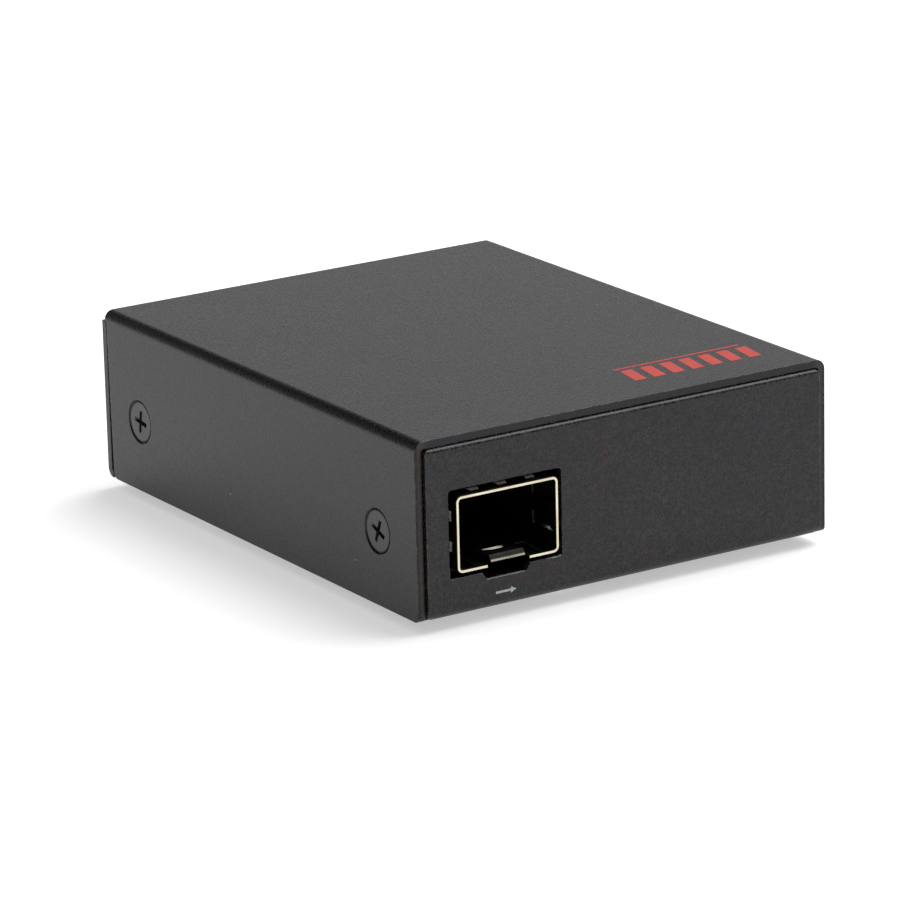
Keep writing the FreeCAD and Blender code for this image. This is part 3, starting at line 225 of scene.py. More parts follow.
# ---------------------------------------------------------------- node helpers
class Tree:
    """Short ways to add nodes to a material, a group or the world."""

    def __init__(self, tree):
        self.tree = tree

    def node(self, kind, *links, **values):
        made = self.tree.nodes.new(kind)
        for key, value in values.items():
            setattr(made, key, value)
        for socket, source in links:
            self.put(made.inputs[socket], source)
        return made

    def put(self, socket, source):
        """Links source to the socket, or writes it there if it is a plain value."""
        if isinstance(source, bpy.types.NodeSocket):
            self.tree.links.new(source, socket)
        elif socket.type == "RGBA" and len(source) == 3:
            socket.default_value = (*source, 1.0)
        else:
            socket.default_value = source

    def give(self, node, **sources):
        """Puts each source into the node's socket of that name."""
        for socket, source in sources.items():
            self.put(node.inputs[socket.replace("_", " ").title()], source)

    def math(self, operation, a, b=0.0):
        return self.node("ShaderNodeMath", (0, a), (1, b), operation=operation).outputs[0]

    def vector(self, operation, a, b):
        return self.node("ShaderNodeVectorMath", (0, a), (1, b), operation=operation).outputs[0]

    def dot(self, a, b):
        return self.node("ShaderNodeVectorMath", (0, a), (1, b),
                         operation="DOT_PRODUCT").outputs["Value"]

    def scale(self, tint, factor):
        return self.node("ShaderNodeVectorMath", (0, tint), ("Scale", factor),
                         operation="SCALE").outputs[0]

    def split(self, vector):
        """The vector's X, Y and Z."""
        return self.node("ShaderNodeSeparateXYZ", ("Vector", vector)).outputs

    def span(self, value, low, high, to_low=0.0, to_high=1.0):
        """Value from low to high stretched over to_low to to_high, and held at both ends."""
        return self.node("ShaderNodeMapRange", ("Value", value), ("From Min", low),
                         ("From Max", high), ("To Min", to_low), ("To Max", to_high),
                         clamp=True).outputs["Result"]

    def blend(self, factor, low, high, mode="MIX"):
        made = self.node("ShaderNodeMix", data_type="RGBA", blend_type=mode)
        for socket, source in ((0, factor), (6, low), (7, high)):
            self.put(made.inputs[socket], source)
        return made.outputs[2]

    def place(self):
        return self.node("ShaderNodeTexCoord").outputs["Object"]

    def facing(self):
        """Where the surface looks, before any bump."""
        return self.node("ShaderNodeNewGeometry").outputs["Normal"]

    def front_faces(self):
        """Mask of the faces that look to the front."""
        return self.span(self.split(self.facing())["Y"], -0.90, -0.98)

    def off_middle(self, box):
        """Distance to the side from the middle of a box."""
        aside = self.math("SUBTRACT", self.split(self.place())["X"], middle(box).x)
        return self.math("ABSOLUTE", aside)

    def noise(self, place, scale, detail=2.0, roughness=0.5):
        return self.node("ShaderNodeTexNoise", ("Vector", place), ("Scale", scale),
                         ("Detail", detail), ("Roughness", roughness)).outputs["Fac"]

    def fine_noise(self, size, detail, roughness=0.5):
        """Noise on the piece whose lumps are about this size."""
        return self.noise(self.place(), self.math("DIVIDE", 1.0, size), detail, roughness)

    def group(self, name, **values):
        made = self.tree.nodes.new("ShaderNodeGroup")
        made.node_tree = bpy.data.node_groups[name]
        for socket, source in values.items():
            self.put(made.inputs[socket.replace("_", " ").capitalize()], source)
        return made

    def bump(self, height, distance, strength=1.0, normal=None):
        made = self.node("ShaderNodeBump", ("Height", height), ("Distance", distance),
                         ("Strength", strength))
        if normal is not None:
            self.put(made.inputs["Normal"], normal)
        return made.outputs["Normal"]


def finish(name):
    """A new material: its tree and its Principled shader."""
    made = bpy.data.materials.new(name)
    made.use_nodes = True
    made.node_tree.nodes.clear()
    tree = Tree(made.node_tree)
    shader = tree.node("ShaderNodeBsdfPrincipled")
    tree.node("ShaderNodeOutputMaterial", ("Surface", shader.outputs["BSDF"]))
    return made, tree, shader


def effect(name, inputs, outputs):
    """A new shader node group: its tree, its inputs and its output node's sockets."""
    group = bpy.data.node_groups.new(name, "ShaderNodeTree")
    for label, kind, default in inputs:
        socket = group.interface.new_socket(label, in_out="INPUT", socket_type=kind)
        socket.default_value = default
    for label, kind in outputs:
        group.interface.new_socket(label, in_out="OUTPUT", socket_type=kind)
    tree = Tree(group)
    entry = tree.node("NodeGroupInput")
    way_out = tree.node("NodeGroupOutput")
    return tree, entry.outputs, way_out.inputs


def shaper(name, inputs):
    """A new geometry node group: its tree, its inputs and its output socket."""
    group = bpy.data.node_groups.new(name, "GeometryNodeTree")
    group.interface.new_socket("Geometry", in_out="INPUT", socket_type="NodeSocketGeometry")
    for label, kind, default in inputs:
        socket = group.interface.new_socket(label, in_out="INPUT", socket_type=kind)
        if default is not None:
            socket.default_value = default
    group.interface.new_socket("Geometry", in_out="OUTPUT", socket_type="NodeSocketGeometry")
    tree = Tree(group)
    entry = tree.node("NodeGroupInput")
    way_out = tree.node("NodeGroupOutput")
    return tree, entry.outputs, way_out.inputs["Geometry"]


FLOAT = "NodeSocketFloat"
WHOLE = "NodeSocketInt"
COLOUR = "NodeSocketColor"
VECTOR = "NodeSocketVector"
MATERIAL = "NodeSocketMaterial"


# ---------------------------------------------------------------- shared effects
def make_coat_grain():
    """Fine orange-peel texture, patches of tint, slow change of tone, a few specks of lint."""
    tree, given, out = effect(
        "coat grain",
        (("Grain", FLOAT, 0.0003), ("Patch", FLOAT, 0.001), ("Speck spacing", FLOAT, 0.003),
         ("Speck size", FLOAT, 0.02)),
        (("Height", FLOAT), ("Tone", FLOAT), ("Tint", COLOUR), ("Specks", FLOAT)))
    place = tree.place()
    fine = tree.fine_noise(given["Grain"], 3.0)
    slow = tree.noise(place, 90.0, detail=3.0, roughness=0.6)
    patches = tree.node("ShaderNodeTexNoise", ("Vector", place), ("Detail", 1.5),
                        ("Scale", tree.math("DIVIDE", 1.0, given["Patch"]))).outputs["Color"]
    cells = tree.node("ShaderNodeTexVoronoi", ("Vector", place),
                      ("Scale", tree.math("DIVIDE", 1.0, given["Speck spacing"])))
    near = tree.math("LESS_THAN", cells.outputs["Distance"], given["Speck size"])
    chance = tree.node("ShaderNodeSeparateColor", ("Color", cells.outputs["Color"]))
    bare_share = 0.72
    some = tree.math("GREATER_THAN", chance.outputs["Red"], bare_share)
    tree.put(out["Height"], fine)
    tree.put(out["Tone"], slow)
    tree.put(out["Tint"], patches)
    tree.put(out["Specks"], tree.math("MULTIPLY", near, some))


def make_edge_wear():
    """Mask that is 1 on outward edges, broken up by noise, and the normal softened over them."""
    tree, given, out = effect(
        "edge wear",
        (("Radius", FLOAT, 0.0002), ("Break up", FLOAT, 0.5), ("Patch", FLOAT, 0.001)),
        (("Mask", FLOAT), ("Normal", VECTOR)))
    soft = tree.node("ShaderNodeBevel", ("Radius", given["Radius"]), samples=6).outputs[0]
    edge = tree.span(tree.dot(soft, tree.facing()), 0.995, 0.86)
    patches = tree.fine_noise(given["Patch"], 3.0)
    kept = tree.span(tree.math("ADD", patches, tree.math("MULTIPLY", given["Break up"], -0.5)),
                     0.28, 0.42)
    tree.put(out["Mask"], tree.math("MULTIPLY", edge, kept))
    tree.put(out["Normal"], soft)


def make_rolled_sheet():
    """Fine lines of rolled or drawn metal along one axis, with slow stains."""
    tree, given, out = effect(
        "rolled sheet",
        (("Stretch", VECTOR, (1.0, 0.06, 1.0)), ("Line", FLOAT, 0.00012)),
        (("Height", FLOAT), ("Stain", FLOAT)))
    place = tree.place()
    drawn = tree.vector("MULTIPLY", place, given["Stretch"])
    tree.put(out["Height"], tree.noise(drawn, tree.math("DIVIDE", 1.0, given["Line"]), 3.0))
    tree.put(out["Stain"], tree.noise(place, 260.0, detail=4.0, roughness=0.65))


def make_moulded_skin():
    """Spark-eroded skin of a moulded plastic part."""
    tree, given, out = effect("moulded skin", (("Size", FLOAT, 0.00018),),
                              (("Height", FLOAT), ("Tone", FLOAT)))
    tree.put(out["Height"], tree.fine_noise(given["Size"], 4.0, 0.65))
    tree.put(out["Tone"], tree.noise(tree.place(), 180.0))


def make_effects():
    make_coat_grain()
    make_edge_wear()
    make_rolled_sheet()
    make_moulded_skin()


# ---------------------------------------------------------------- shapes that repeat
def make_slanted_bars():
    """A row of printed bars that lean to one side, with a thin rule behind them."""
    tree, given, out = shaper(
        "slanted bars",
        (("Count", WHOLE, 7), ("Pitch", FLOAT, 0.0033), ("Width", FLOAT, 0.0024),
         ("Length", FLOAT, 0.0036), ("Lean", FLOAT, 0.0008), ("Thickness", FLOAT, 0.00001),
         ("Rule gap", FLOAT, 0.001), ("Rule width", FLOAT, 0.0004),
         ("Material", MATERIAL, None)))
    size = tree.node("ShaderNodeCombineXYZ", ("X", given["Width"]), ("Y", given["Length"]),
                     ("Z", given["Thickness"])).outputs[0]
    bar = tree.node("GeometryNodeMeshCube", ("Size", size)).outputs["Mesh"]
    where = tree.split(tree.node("GeometryNodeInputPosition").outputs[0])
    shear = tree.math("MULTIPLY", tree.math("DIVIDE", where["Y"], given["Length"]),
                      given["Lean"])
    leaning = tree.node("GeometryNodeSetPosition", ("Geometry", bar), (
        "Offset", tree.node("ShaderNodeCombineXYZ", ("X", shear)).outputs[0])).outputs[0]
    step = tree.node("ShaderNodeCombineXYZ", ("X", given["Pitch"])).outputs[0]
    row = tree.node("GeometryNodeMeshLine", ("Count", given["Count"]),
                    ("Offset", step)).outputs["Mesh"]
    bars = tree.node("GeometryNodeInstanceOnPoints", ("Points", row),
                     ("Instance", leaning)).outputs[0]
    gaps = tree.math("SUBTRACT", given["Count"], 1.0)
    run = tree.math("MULTIPLY", gaps, given["Pitch"])
    rule_size = tree.node("ShaderNodeCombineXYZ", ("X", tree.math("ADD", run, given["Width"])),
                          ("Y", given["Rule width"]), ("Z", given["Thickness"])).outputs[0]
    away = tree.math("ADD", tree.math("MULTIPLY", given["Length"], 0.5), given["Rule gap"])
    rule_place = tree.node("ShaderNodeCombineXYZ", ("X", tree.math("MULTIPLY", run, 0.5)),
                           ("Y", away)).outputs[0]
    rule = tree.node("GeometryNodeTransform", (
        "Geometry", tree.node("GeometryNodeMeshCube", ("Size", rule_size)).outputs["Mesh"]),
        ("Translation", rule_place)).outputs[0]
    both = tree.node("GeometryNodeJoinGeometry")
    for piece in (bars, rule):
        tree.tree.links.new(piece, both.inputs[0])
    solid = tree.node("GeometryNodeRealizeInstances", ("Geometry", both.outputs[0])).outputs[0]
    tree.put(out, tree.node("GeometryNodeSetMaterial", ("Geometry", solid),
                            ("Material", given["Material"])).outputs[0])


def make_solder_joints():
    """A small cone of solder round each point, wide end up."""
    tree, given, out = shaper(
        "solder joints",
        (("Foot radius", FLOAT, 0.0007), ("Tip radius", FLOAT, 0.0003),
         ("Height", FLOAT, 0.0005), ("Material", MATERIAL, None)))
    cone = tree.node("GeometryNodeMeshCone", ("Vertices", 12),
                     ("Radius Top", given["Foot radius"]), ("Radius Bottom", given["Tip radius"]),
                     ("Depth", given["Height"])).outputs["Mesh"]
    placed = tree.node("GeometryNodeInstanceOnPoints", ("Points", given["Geometry"]),
                       ("Instance", cone)).outputs[0]
    solid = tree.node("GeometryNodeRealizeInstances", ("Geometry", placed)).outputs[0]
    tree.put(out, tree.node("GeometryNodeSetMaterial", ("Geometry", solid),
                            ("Material", given["Material"])).outputs[0])


def make_shapers():
    make_slanted_bars()
    make_solder_joints()


def grown(name, shape, values, points=(), place=None):
    """Runs a geometry node group once and keeps the result as a plain mesh at the origin."""
    made = bpy.data.objects.new(name, bpy.data.meshes.new(name + " points"))
    made.data.from_pydata([tuple(p) for p in points], [], [])
    bpy.context.scene.collection.objects.link(made)
    modifier = made.modifiers.new(shape, "NODES")
    modifier.node_group = bpy.data.node_groups[shape]
    for item in modifier.node_group.interface.items_tree:
        if item.in_out == "INPUT" and item.name in values:
            modifier[item.identifier] = values[item.name]
    bpy.context.view_layer.update()
    seen = made.evaluated_get(bpy.context.evaluated_depsgraph_get())
    mesh = bpy.data.meshes.new_from_object(seen)
    made.modifiers.clear()
    made.data = mesh
    if place is not None:
        mesh.transform(place)
    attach(made, "root")
    return made


# ---------------------------------------------------------------- finishes
def sheared_edges_and_shade(tree, coat):
    """Coat that is thin and brown on the cover's side edges at the front, with painted shade: a
    dark line along their outer corners, and a darker, bluish front edge on its top.
    """
    own = settings("housing")
    half = (COVER[1].x - COVER[0].x) / 2
    across = tree.off_middle(COVER)
    aside = tree.span(across, half - 2 * own.sheet, half - own.sheet)
    # Painted shade, tinted blue, on the front edge of the cover's top.
    above = tree.blend(1.0, coat, (0.35, 0.35, 0.6), "MULTIPLY")
    # Painted shade: a dark line along the outer corner of each side edge.
    outermost = tree.span(across, half - 0.45 * own.sheet, half - 0.35 * own.sheet)
    flank = tree.blend(outermost, own.sheared, shade(own.coat, 0.1))
    return tree.blend(tree.front_faces(), coat, tree.blend(aside, above, flank))


def painted_sill_highlight(tree, coat):
    """Painted highlight: a pale line on the upward faces at the front of the module slot's lower
    edge.
    """
    own = settings("housing")
    place = tree.split(tree.place())
    front = tree.math("LESS_THAN", place["Y"], TRAY[0].y + own.sill)
    low = tree.math("LESS_THAN", place["Z"], middle(CAGE).z)
    upward = tree.math("GREATER_THAN", tree.split(tree.facing())["Z"], 0.7)
    sill = tree.math("MULTIPLY", tree.math("MULTIPLY", front, low), upward)
    # Painted highlight on the sill.
    return tree.blend(sill, coat, own.sill_light)


def painted_fold_shade(tree, coat):
    """Painted shade: coat that is darker where the cover's sheet turns round its folds."""
    facing = tree.split(tree.facing())
    slope = tree.math("ABSOLUTE", tree.math("MULTIPLY", facing["X"], facing["Z"]))
    # Painted shade: darker where the surface leans between the top and a side.
    return tree.blend(tree.span(slope, 0.05, 0.5, 0.0, 0.85), coat, (0.0, 0.0, 0.0))


def satin_coat(name, on_cover=False):
    """Black powder coat with fine grain, faint tints and lint, lighter on its edges, partly from
    wear and partly as a painted highlight.
    """
    own = settings("housing")
    made, tree, shader = finish(name)
    grain = tree.group("coat grain", grain=own.grain, patch=own.patch, speck_spacing=5 * MM,
                       speck_size=0.014).outputs
    wear_and_glint = tree.group("edge wear", radius=own.edge, break_up=0.42, patch=own.patch).outputs
    on_peaks = 3.4
    powder = tree.span(grain["Height"], 0.38, 0.62, 0.0, on_peaks)
    tone = tree.math("MULTIPLY", powder, tree.span(grain["Tone"], 0.3, 0.7, 0.85, 1.15))
    tint = tree.node("ShaderNodeMapRange", ("Vector", grain["Tint"]),
                     (7, (0.35,) * 3), (8, (0.65,) * 3), (9, (0.7,) * 3), (10, (1.3,) * 3),
                     data_type="FLOAT_VECTOR").outputs["Vector"]
    toned = tree.scale(tree.blend(1.0, own.coat, tint, "MULTIPLY"), tone)
    if on_cover:
        toned = sheared_edges_and_shade(tree, painted_fold_shade(tree, toned))
    else:
        toned = painted_sill_highlight(tree, toned)
    # Lighter, browner edges: partly wear, partly a painted highlight.
    worn_and_glint = tree.blend(tree.math("MULTIPLY", wear_and_glint["Mask"], 0.7), toned, own.worn_and_glint)
    lint = (0.75, 0.75, 0.78)
    tree.give(shader, base_color=tree.blend(grain["Specks"], worn_and_glint, lint),
              roughness=tree.span(grain["Height"], 0.36, 0.64, own.roughness - 0.1,
                                  own.roughness + 0.1),
              normal=tree.bump(grain["Height"], own.grain_depth, normal=wear_and_glint["Normal"]))
    shader.inputs["Specular IOR Level"].default_value = own.gloss
    return made


def plated_sheet(name, tint, stretch=(1.0, 0.06, 1.0), roughness=0.3, stain=(0.62, 0.5, 0.36)):
    """Plated metal with the lines of its rolling, slow stains and edges painted lighter as a
    glint.
    """
    made, tree, shader = finish(name)
    sheet = tree.group("rolled sheet", stretch=stretch, line=0.12 * MM).outputs
    wear_and_glint = tree.group("edge wear", radius=0.05 * MM, break_up=0.1, patch=0.6 * MM).outputs
    stained = tree.blend(tree.span(sheet["Stain"], 0.45, 0.75, 0.0, 0.5), tint,
                         scaled(tint, stain))
    tree.give(shader, metallic=1.0,
              # Painted glint: the edges are made lighter.
              base_color=tree.blend(tree.math("MULTIPLY", wear_and_glint["Mask"], 0.5), stained,
                                    shade(tint, 1.2)),
              roughness=tree.span(sheet["Stain"], 0.3, 0.7, roughness - 0.08, roughness + 0.1),
              normal=tree.bump(sheet["Height"], 0.003 * MM, 0.6, wear_and_glint["Normal"]))
    return made


def finger_glints(tree):
    """Mask of a painted glint: a band half way up the outside of each ground finger."""
    own = settings("metal")
    above = tree.math("SUBTRACT", tree.split(tree.place())["Z"], CAGE[1].z - own.finger_rise)
    past = tree.math("SUBTRACT", tree.off_middle(CAGE), own.cage_width / 2)
    rise = tree.math("MAXIMUM", past, above)
    band = tree.math("MULTIPLY", tree.span(rise, 0.1 * MM, 0.16 * MM),
                     tree.span(rise, 0.36 * MM, 0.28 * MM))
    from_middle = tree.vector("SUBTRACT", tree.place(), middle(CAGE))
    outward = tree.math("GREATER_THAN", tree.dot(from_middle, tree.facing()), 0.0)
    return tree.math("MULTIPLY", band, outward)


def cage_plating():
    """Nickel: its own colour on the cut rim and a strip round the mouth, a painted glint on each
    finger, and painted shade, dark, everywhere else.
    """
    own = settings("metal")
    made, tree, shader = finish("plated cage sheet")
    sheet = tree.group("rolled sheet", stretch=(1.0, 0.06, 1.0), line=0.12 * MM).outputs
    depth = tree.math("SUBTRACT", tree.split(tree.place())["Y"], CAGE[0].y)
    near = tree.span(depth, own.rim, 2 * own.rim, 1.0, 0.0)
    lip = tree.span(depth, own.lip, own.lip + 0.06 * MM, 0.35, 0.0)
    cut = tree.math("MAXIMUM", tree.math("MULTIPLY", tree.front_faces(), near), lip)
    glints = finger_glints(tree)
    rim = tree.blend(tree.span(sheet["Stain"], 0.4, 0.7, 0.0, 0.45), own.cage,
                     scaled(own.cage, (0.75, 0.62, 0.45)))
    # Painted shade on all but the rim, with the fingers' painted glint.
    shaded = tree.blend(glints, own.cage_shade, own.glint)
    matt = tree.math("MULTIPLY", tree.math("SUBTRACT", 1.0, cut), 0.2)
    tree.give(shader, base_color=tree.blend(cut, shaded, rim),
              metallic=tree.span(glints, 0.0, 1.0, 1.0, 0.4),
              roughness=tree.math("ADD", tree.span(sheet["Stain"], 0.3, 0.7, 0.22, 0.42), matt),
              normal=tree.bump(sheet["Height"], 0.003 * MM, 0.6))
    return made


def head_edge_shade(tree, width):
    """Mask of a ring of this width at the edge of each cover screw's head, for painted shade."""
    low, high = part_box("cover_screws")
    radius = (high.z - low.z) / 2
    apart = (high.y - low.y) / 2 - radius
    offset = tree.split(tree.vector("SUBTRACT", tree.place(), middle((low, high))))
    along = tree.math("SUBTRACT", tree.math("ABSOLUTE", offset["Y"]), apart)
    upward = tree.math("MULTIPLY", offset["Z"], offset["Z"])
    out = tree.math("SQRT", tree.math("ADD", tree.math("MULTIPLY", along, along), upward))
    return tree.span(out, radius - width, radius - width * 0.7)


def blackened_steel():
    """Black oxide with bared edges, and a ring of painted shade where a screw's head meets the
    cover.
    """
    own = settings("metal")
    made, tree, shader = finish("blackened screw steel")
    skin = tree.group("moulded skin", size=0.15 * MM).outputs
    wear_and_glint = tree.group("edge wear", radius=0.08 * MM, break_up=0.2, patch=0.3 * MM).outputs
    bare = tree.math("MULTIPLY", wear_and_glint["Mask"], 0.6)
    ring = head_edge_shade(tree, own.screw_ring_shade)
    toned = tree.blend(bare, own.screw, (0.34, 0.33, 0.32))
    # Painted shade: the ring round the head is made near black.
    tree.give(shader, base_color=tree.blend(ring, toned, (0.004, 0.004, 0.004)),
              metallic=tree.math("MAXIMUM", bare, ring),
              roughness=tree.span(skin["Tone"], 0.3, 0.7, 0.26, 0.40),
              normal=tree.bump(skin["Height"], 0.004 * MM, 0.7, wear_and_glint["Normal"]))
    return made


def moulded_plastic(name, tint, roughness=0.42, size=0.18 * MM, depth=0.004 * MM):
    """Plastic or rubber with the skin of its mould, paler on its edges."""
    made, tree, shader = finish(name)
    skin = tree.group("moulded skin", size=size).outputs
    wear_and_glint = tree.group("edge wear", radius=0.08 * MM, break_up=0.4, patch=0.5 * MM).outputs
    toned = tree.blend(tree.span(skin["Tone"], 0.3, 0.7), shade(tint, 0.85), shade(tint, 1.15))
    tree.give(shader,
              base_color=tree.blend(tree.math("MULTIPLY", wear_and_glint["Mask"], 0.25), toned,
                                    shade(tint, 2.2, 0.02)),
              roughness=tree.span(skin["Tone"], 0.3, 0.7, roughness - 0.05, roughness + 0.05),
              normal=tree.bump(skin["Height"], depth, 0.8, wear_and_glint["Normal"]))
    return made


def lamp_lens(name, tint):
    """Clouded, tinted plastic that lets some light through."""
    made, tree, shader = finish(name)
    skin = tree.group("moulded skin", size=0.4 * MM).outputs
    tree.give(shader,
              base_color=tree.blend(tree.span(skin["Tone"], 0.35, 0.65), tint,
                                    shade(tint, 1.15, 0.03)),
              roughness=tree.span(skin["Tone"], 0.3, 0.7, 0.10, 0.2),
              transmission_weight=0.35, subsurface_weight=0.25, subsurface_scale=0.6 * MM,
              normal=tree.bump(skin["Height"], 0.002 * MM, 0.5))
    return made


def printed_ink(name, tint):
    """Screen print that follows the coat's grain."""
    own = settings("housing")
    made, tree, shader = finish(name)
    grain = tree.group("coat grain", grain=own.grain).outputs
    cover = tree.span(grain["Height"], 0.25, 0.6, 0.78, 1.05)
    tree.give(shader, base_color=tree.scale(tint, cover),
              roughness=tree.span(grain["Tone"], 0.3, 0.7, 0.4, 0.5),
              normal=tree.bump(grain["Height"], own.grain_depth))
    return made


def solder_mask():
    """Green lacquer that is lighter and higher over the copper tracks."""
    own = settings("plastic")
    made, tree, shader = finish("green board")
    tracks = tree.node("ShaderNodeTexBrick", ("Vector", tree.place()), ("Scale", 260.0),
                       ("Mortar Size", 0.06), ("Mortar Smooth", 0.2), ("Brick Width", 0.9),
                       ("Row Height", 0.22), ("Color1", (0, 0, 0)), ("Color2", (1, 1, 1)),
                       ("Mortar", (0.5, 0.5, 0.5)))
    copper = tree.node("ShaderNodeSeparateColor", ("Color", tracks.outputs["Color"]))
    under = tree.span(copper.outputs["Red"], 0.4, 0.6)
    skin = tree.group("moulded skin", size=0.5 * MM).outputs
    tree.give(shader, base_color=tree.blend(under, own.board, shade(own.board, 1.7)),
              roughness=tree.span(skin["Tone"], 0.3, 0.7, 0.28, 0.4),
              normal=tree.bump(under, 0.03 * MM, 0.6))
    return made


def dress(material, *names):
    for name in names:
        mesh = NODES[name].data
        mesh.materials.clear()
        mesh.materials.append(material)


# ---------------------------------------------------------------- pieces
def lead_ends(name, board_low):
    """Middle of each lead of a node that reaches below the board, in plan."""
    stub, spread = 0.1 * MM, 1.0 * MM
    leads = []
    for vertex in NODES[name].data.vertices:
        if vertex.co.z < board_low - stub:
            for lead in leads:
                if (lead[0] - vertex.co).xy.length < spread:
                    lead.append(vertex.co.copy())
                    break
            else:
                leads.append([vertex.co.copy()])
    middles = [sum(lead, Vector()) / len(lead) for lead in leads]
    return [(m.x, m.y) for m in middles]


def flat_piece(name, outlines, thickness, place, material):
    """Flat print: closed outlines in the XY plane raised by the ink's thickness."""
    mesh = bpy.data.meshes.new(name)
    shape = bmesh.new()
    for outline in outlines:
        low = [shape.verts.new((x, y, 0.0)) for x, y in outline]
        high = [shape.verts.new((x, y, thickness)) for x, y in outline]
        shape.faces.new(high)
        shape.faces.new(low[::-1])
        for i in range(len(outline)):
            j = (i + 1) % len(outline)
            shape.faces.new((low[i], low[j], high[j], high[i]))
    shape.transform(place)
    shape.to_mesh(mesh)
    shape.free()
    mesh.materials.append(material)
    made = bpy.data.objects.new(name, mesh)
    bpy.context.scene.collection.objects.link(made)
    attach(made, "root")
    return made


class Piece:
    """What the operators of this file share."""
    bl_options = {"REGISTER", "UNDO"}


class DressHousing(Piece, bpy.types.Operator):
    """Give the cover and the tray their satin powder coat"""
    bl_idname = "converter.dress_housing"
    bl_label = "Coat the housing"

    def execute(self, context):
        dress(satin_coat("satin black coat", on_cover=True), "top_cover")
        dress(satin_coat("satin black tray coat"), "base_tray")
        return {"FINISHED"}


class DressScrews(Piece, bpy.types.Operator):
    """Blacken the cover screws and plate the screws and spacers of the board"""
    bl_idname = "converter.dress_screws"
    bl_label = "Finish the screws"

    def execute(self, context):
        dress(blackened_steel(), "cover_screws")
        dress(plated_sheet("nickelled steel", (0.62, 0.62, 0.61), (1, 1, 0.2), 0.3,
                           (0.8, 0.78, 0.75)), "board_standoffs", "board_screws")
        return {"FINISHED"}


class DressCage(Piece, bpy.types.Operator):
    """Plate the module cage and finish the connector inside it"""
    bl_idname = "converter.dress_cage"
    bl_label = "Finish the module cage"

    def execute(self, context):
        own = settings("metal")
        dress(cage_plating(), "module_cage")
        dress(moulded_plastic("connector plastic", settings("plastic").black),
              "module_connector")
        dress(plated_sheet("gold plate", own.gold, (1, 0.3, 1), 0.18, (0.9, 0.8, 0.7)),
              "module_contacts", "network_jack_contacts")
        return {"FINISHED"}


class DressJack(Piece, bpy.types.Operator):
    """Finish the network jack, its shield and its two lights"""
    bl_idname = "converter.dress_jack"
    bl_label = "Finish the network jack"

    def execute(self, context):
        dress(moulded_plastic("jack plastic", settings("plastic").black, 0.36),
              "network_jack_housing")
        dress(plated_sheet("tinned shield", settings("metal").jack, (1, 1, 0.08), 0.28,
                           (0.8, 0.78, 0.74)), "network_jack_shield")
        dress(lamp_lens("green jack light", settings("plastic").green),
              "network_jack_light_left")
        dress(lamp_lens("amber jack light", settings("plastic").amber),
              "network_jack_light_right")
        return {"FINISHED"}


class DressInlet(Piece, bpy.types.Operator):
    """Finish the power inlet, its pin and its springs"""
    bl_idname = "converter.dress_inlet"
    bl_label = "Finish the power inlet"

    def execute(self, context):
        dress(moulded_plastic("inlet plastic", settings("plastic").black, 0.4),
              "power_inlet_body")
        dress(plated_sheet("tinned brass", (0.74, 0.71, 0.64), (1, 0.2, 1), 0.22,
                           (0.85, 0.8, 0.7)),
              "power_inlet_pin", "power_inlet_spring", "power_inlet_tail")
        return {"FINISHED"}


class DressLamps(Piece, bpy.types.Operator):
    """Finish the indicator lamps, their holder and their leads"""
    bl_idname = "converter.dress_lamps"
    bl_label = "Finish the indicator lights"

    def execute(self, context):
        dress(lamp_lens("indicator lens", settings("plastic").green),
              "indicator_power", "indicator_fibre", "indicator_copper")
        dress(moulded_plastic("holder plastic", settings("plastic").black), "indicator_holder")
        dress(plated_sheet("tinned lead", (0.6, 0.6, 0.6)), "indicator_leads")
        return {"FINISHED"}


class DressBoard(Piece, bpy.types.Operator):
    """Finish the circuit board and the parts soldered to it"""
    bl_idname = "converter.dress_board"
    bl_label = "Finish the circuit board"

    def execute(self, context):
        dress(solder_mask(), "circuit_board")
        dress(moulded_plastic("chip epoxy", (0.03, 0.03, 0.032), 0.5), "converter_chip",
              "memory_chip", "line_transformer", "regulator_chip")
        dress(moulded_plastic("ferrite", (0.1, 0.1, 0.105), 0.6, 0.3 * MM), "power_inductor")
        dress(plated_sheet("capacitor can", (0.76, 0.76, 0.77)), "input_capacitor",
              "output_capacitor", "crystal_can")
        dress(moulded_plastic("ceramic", (0.42, 0.34, 0.26), 0.45), "chip_parts")
        return {"FINISHED"}


class SolderBoard(Piece, bpy.types.Operator):
    """Put a joint of solder round each lead that goes through the board"""
    bl_idname = "converter.solder_board"
    bl_label = "Solder the board"

    def execute(self, context):
        own = settings("metal")
        board_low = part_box("circuit_board")[0].z
        height, tip = own.joint * 0.7, own.joint * 0.45
        points = []
        for name in ("module_cage", "network_jack_shield", "network_jack_contacts",
                     "power_inlet_pin", "power_inlet_spring", "power_inlet_tail",
                     "indicator_leads"):
            points += lead_ends(name, board_low)
        grown("solder_joints", "solder joints",
              {"Foot radius": own.joint, "Tip radius": tip, "Height": height,
               "Material": plated_sheet("solder", (0.66, 0.66, 0.65), (1, 1, 1), 0.25,
                                        (0.85, 0.83, 0.8))},
              points=[(x, y, board_low - height) for x, y in points])
        return {"FINISHED"}


class DressFeet(Piece, bpy.types.Operator):
    """Give the four feet their rubber"""
    bl_idname = "converter.dress_feet"
    bl_label = "Finish the feet"

    def execute(self, context):
        dress(moulded_plastic("black rubber", settings("plastic").rubber, 0.7, 0.25 * MM,
                              0.01 * MM),
              "foot_front_left", "foot_front_right", "foot_rear_left", "foot_rear_right")
        return {"FINISHED"}


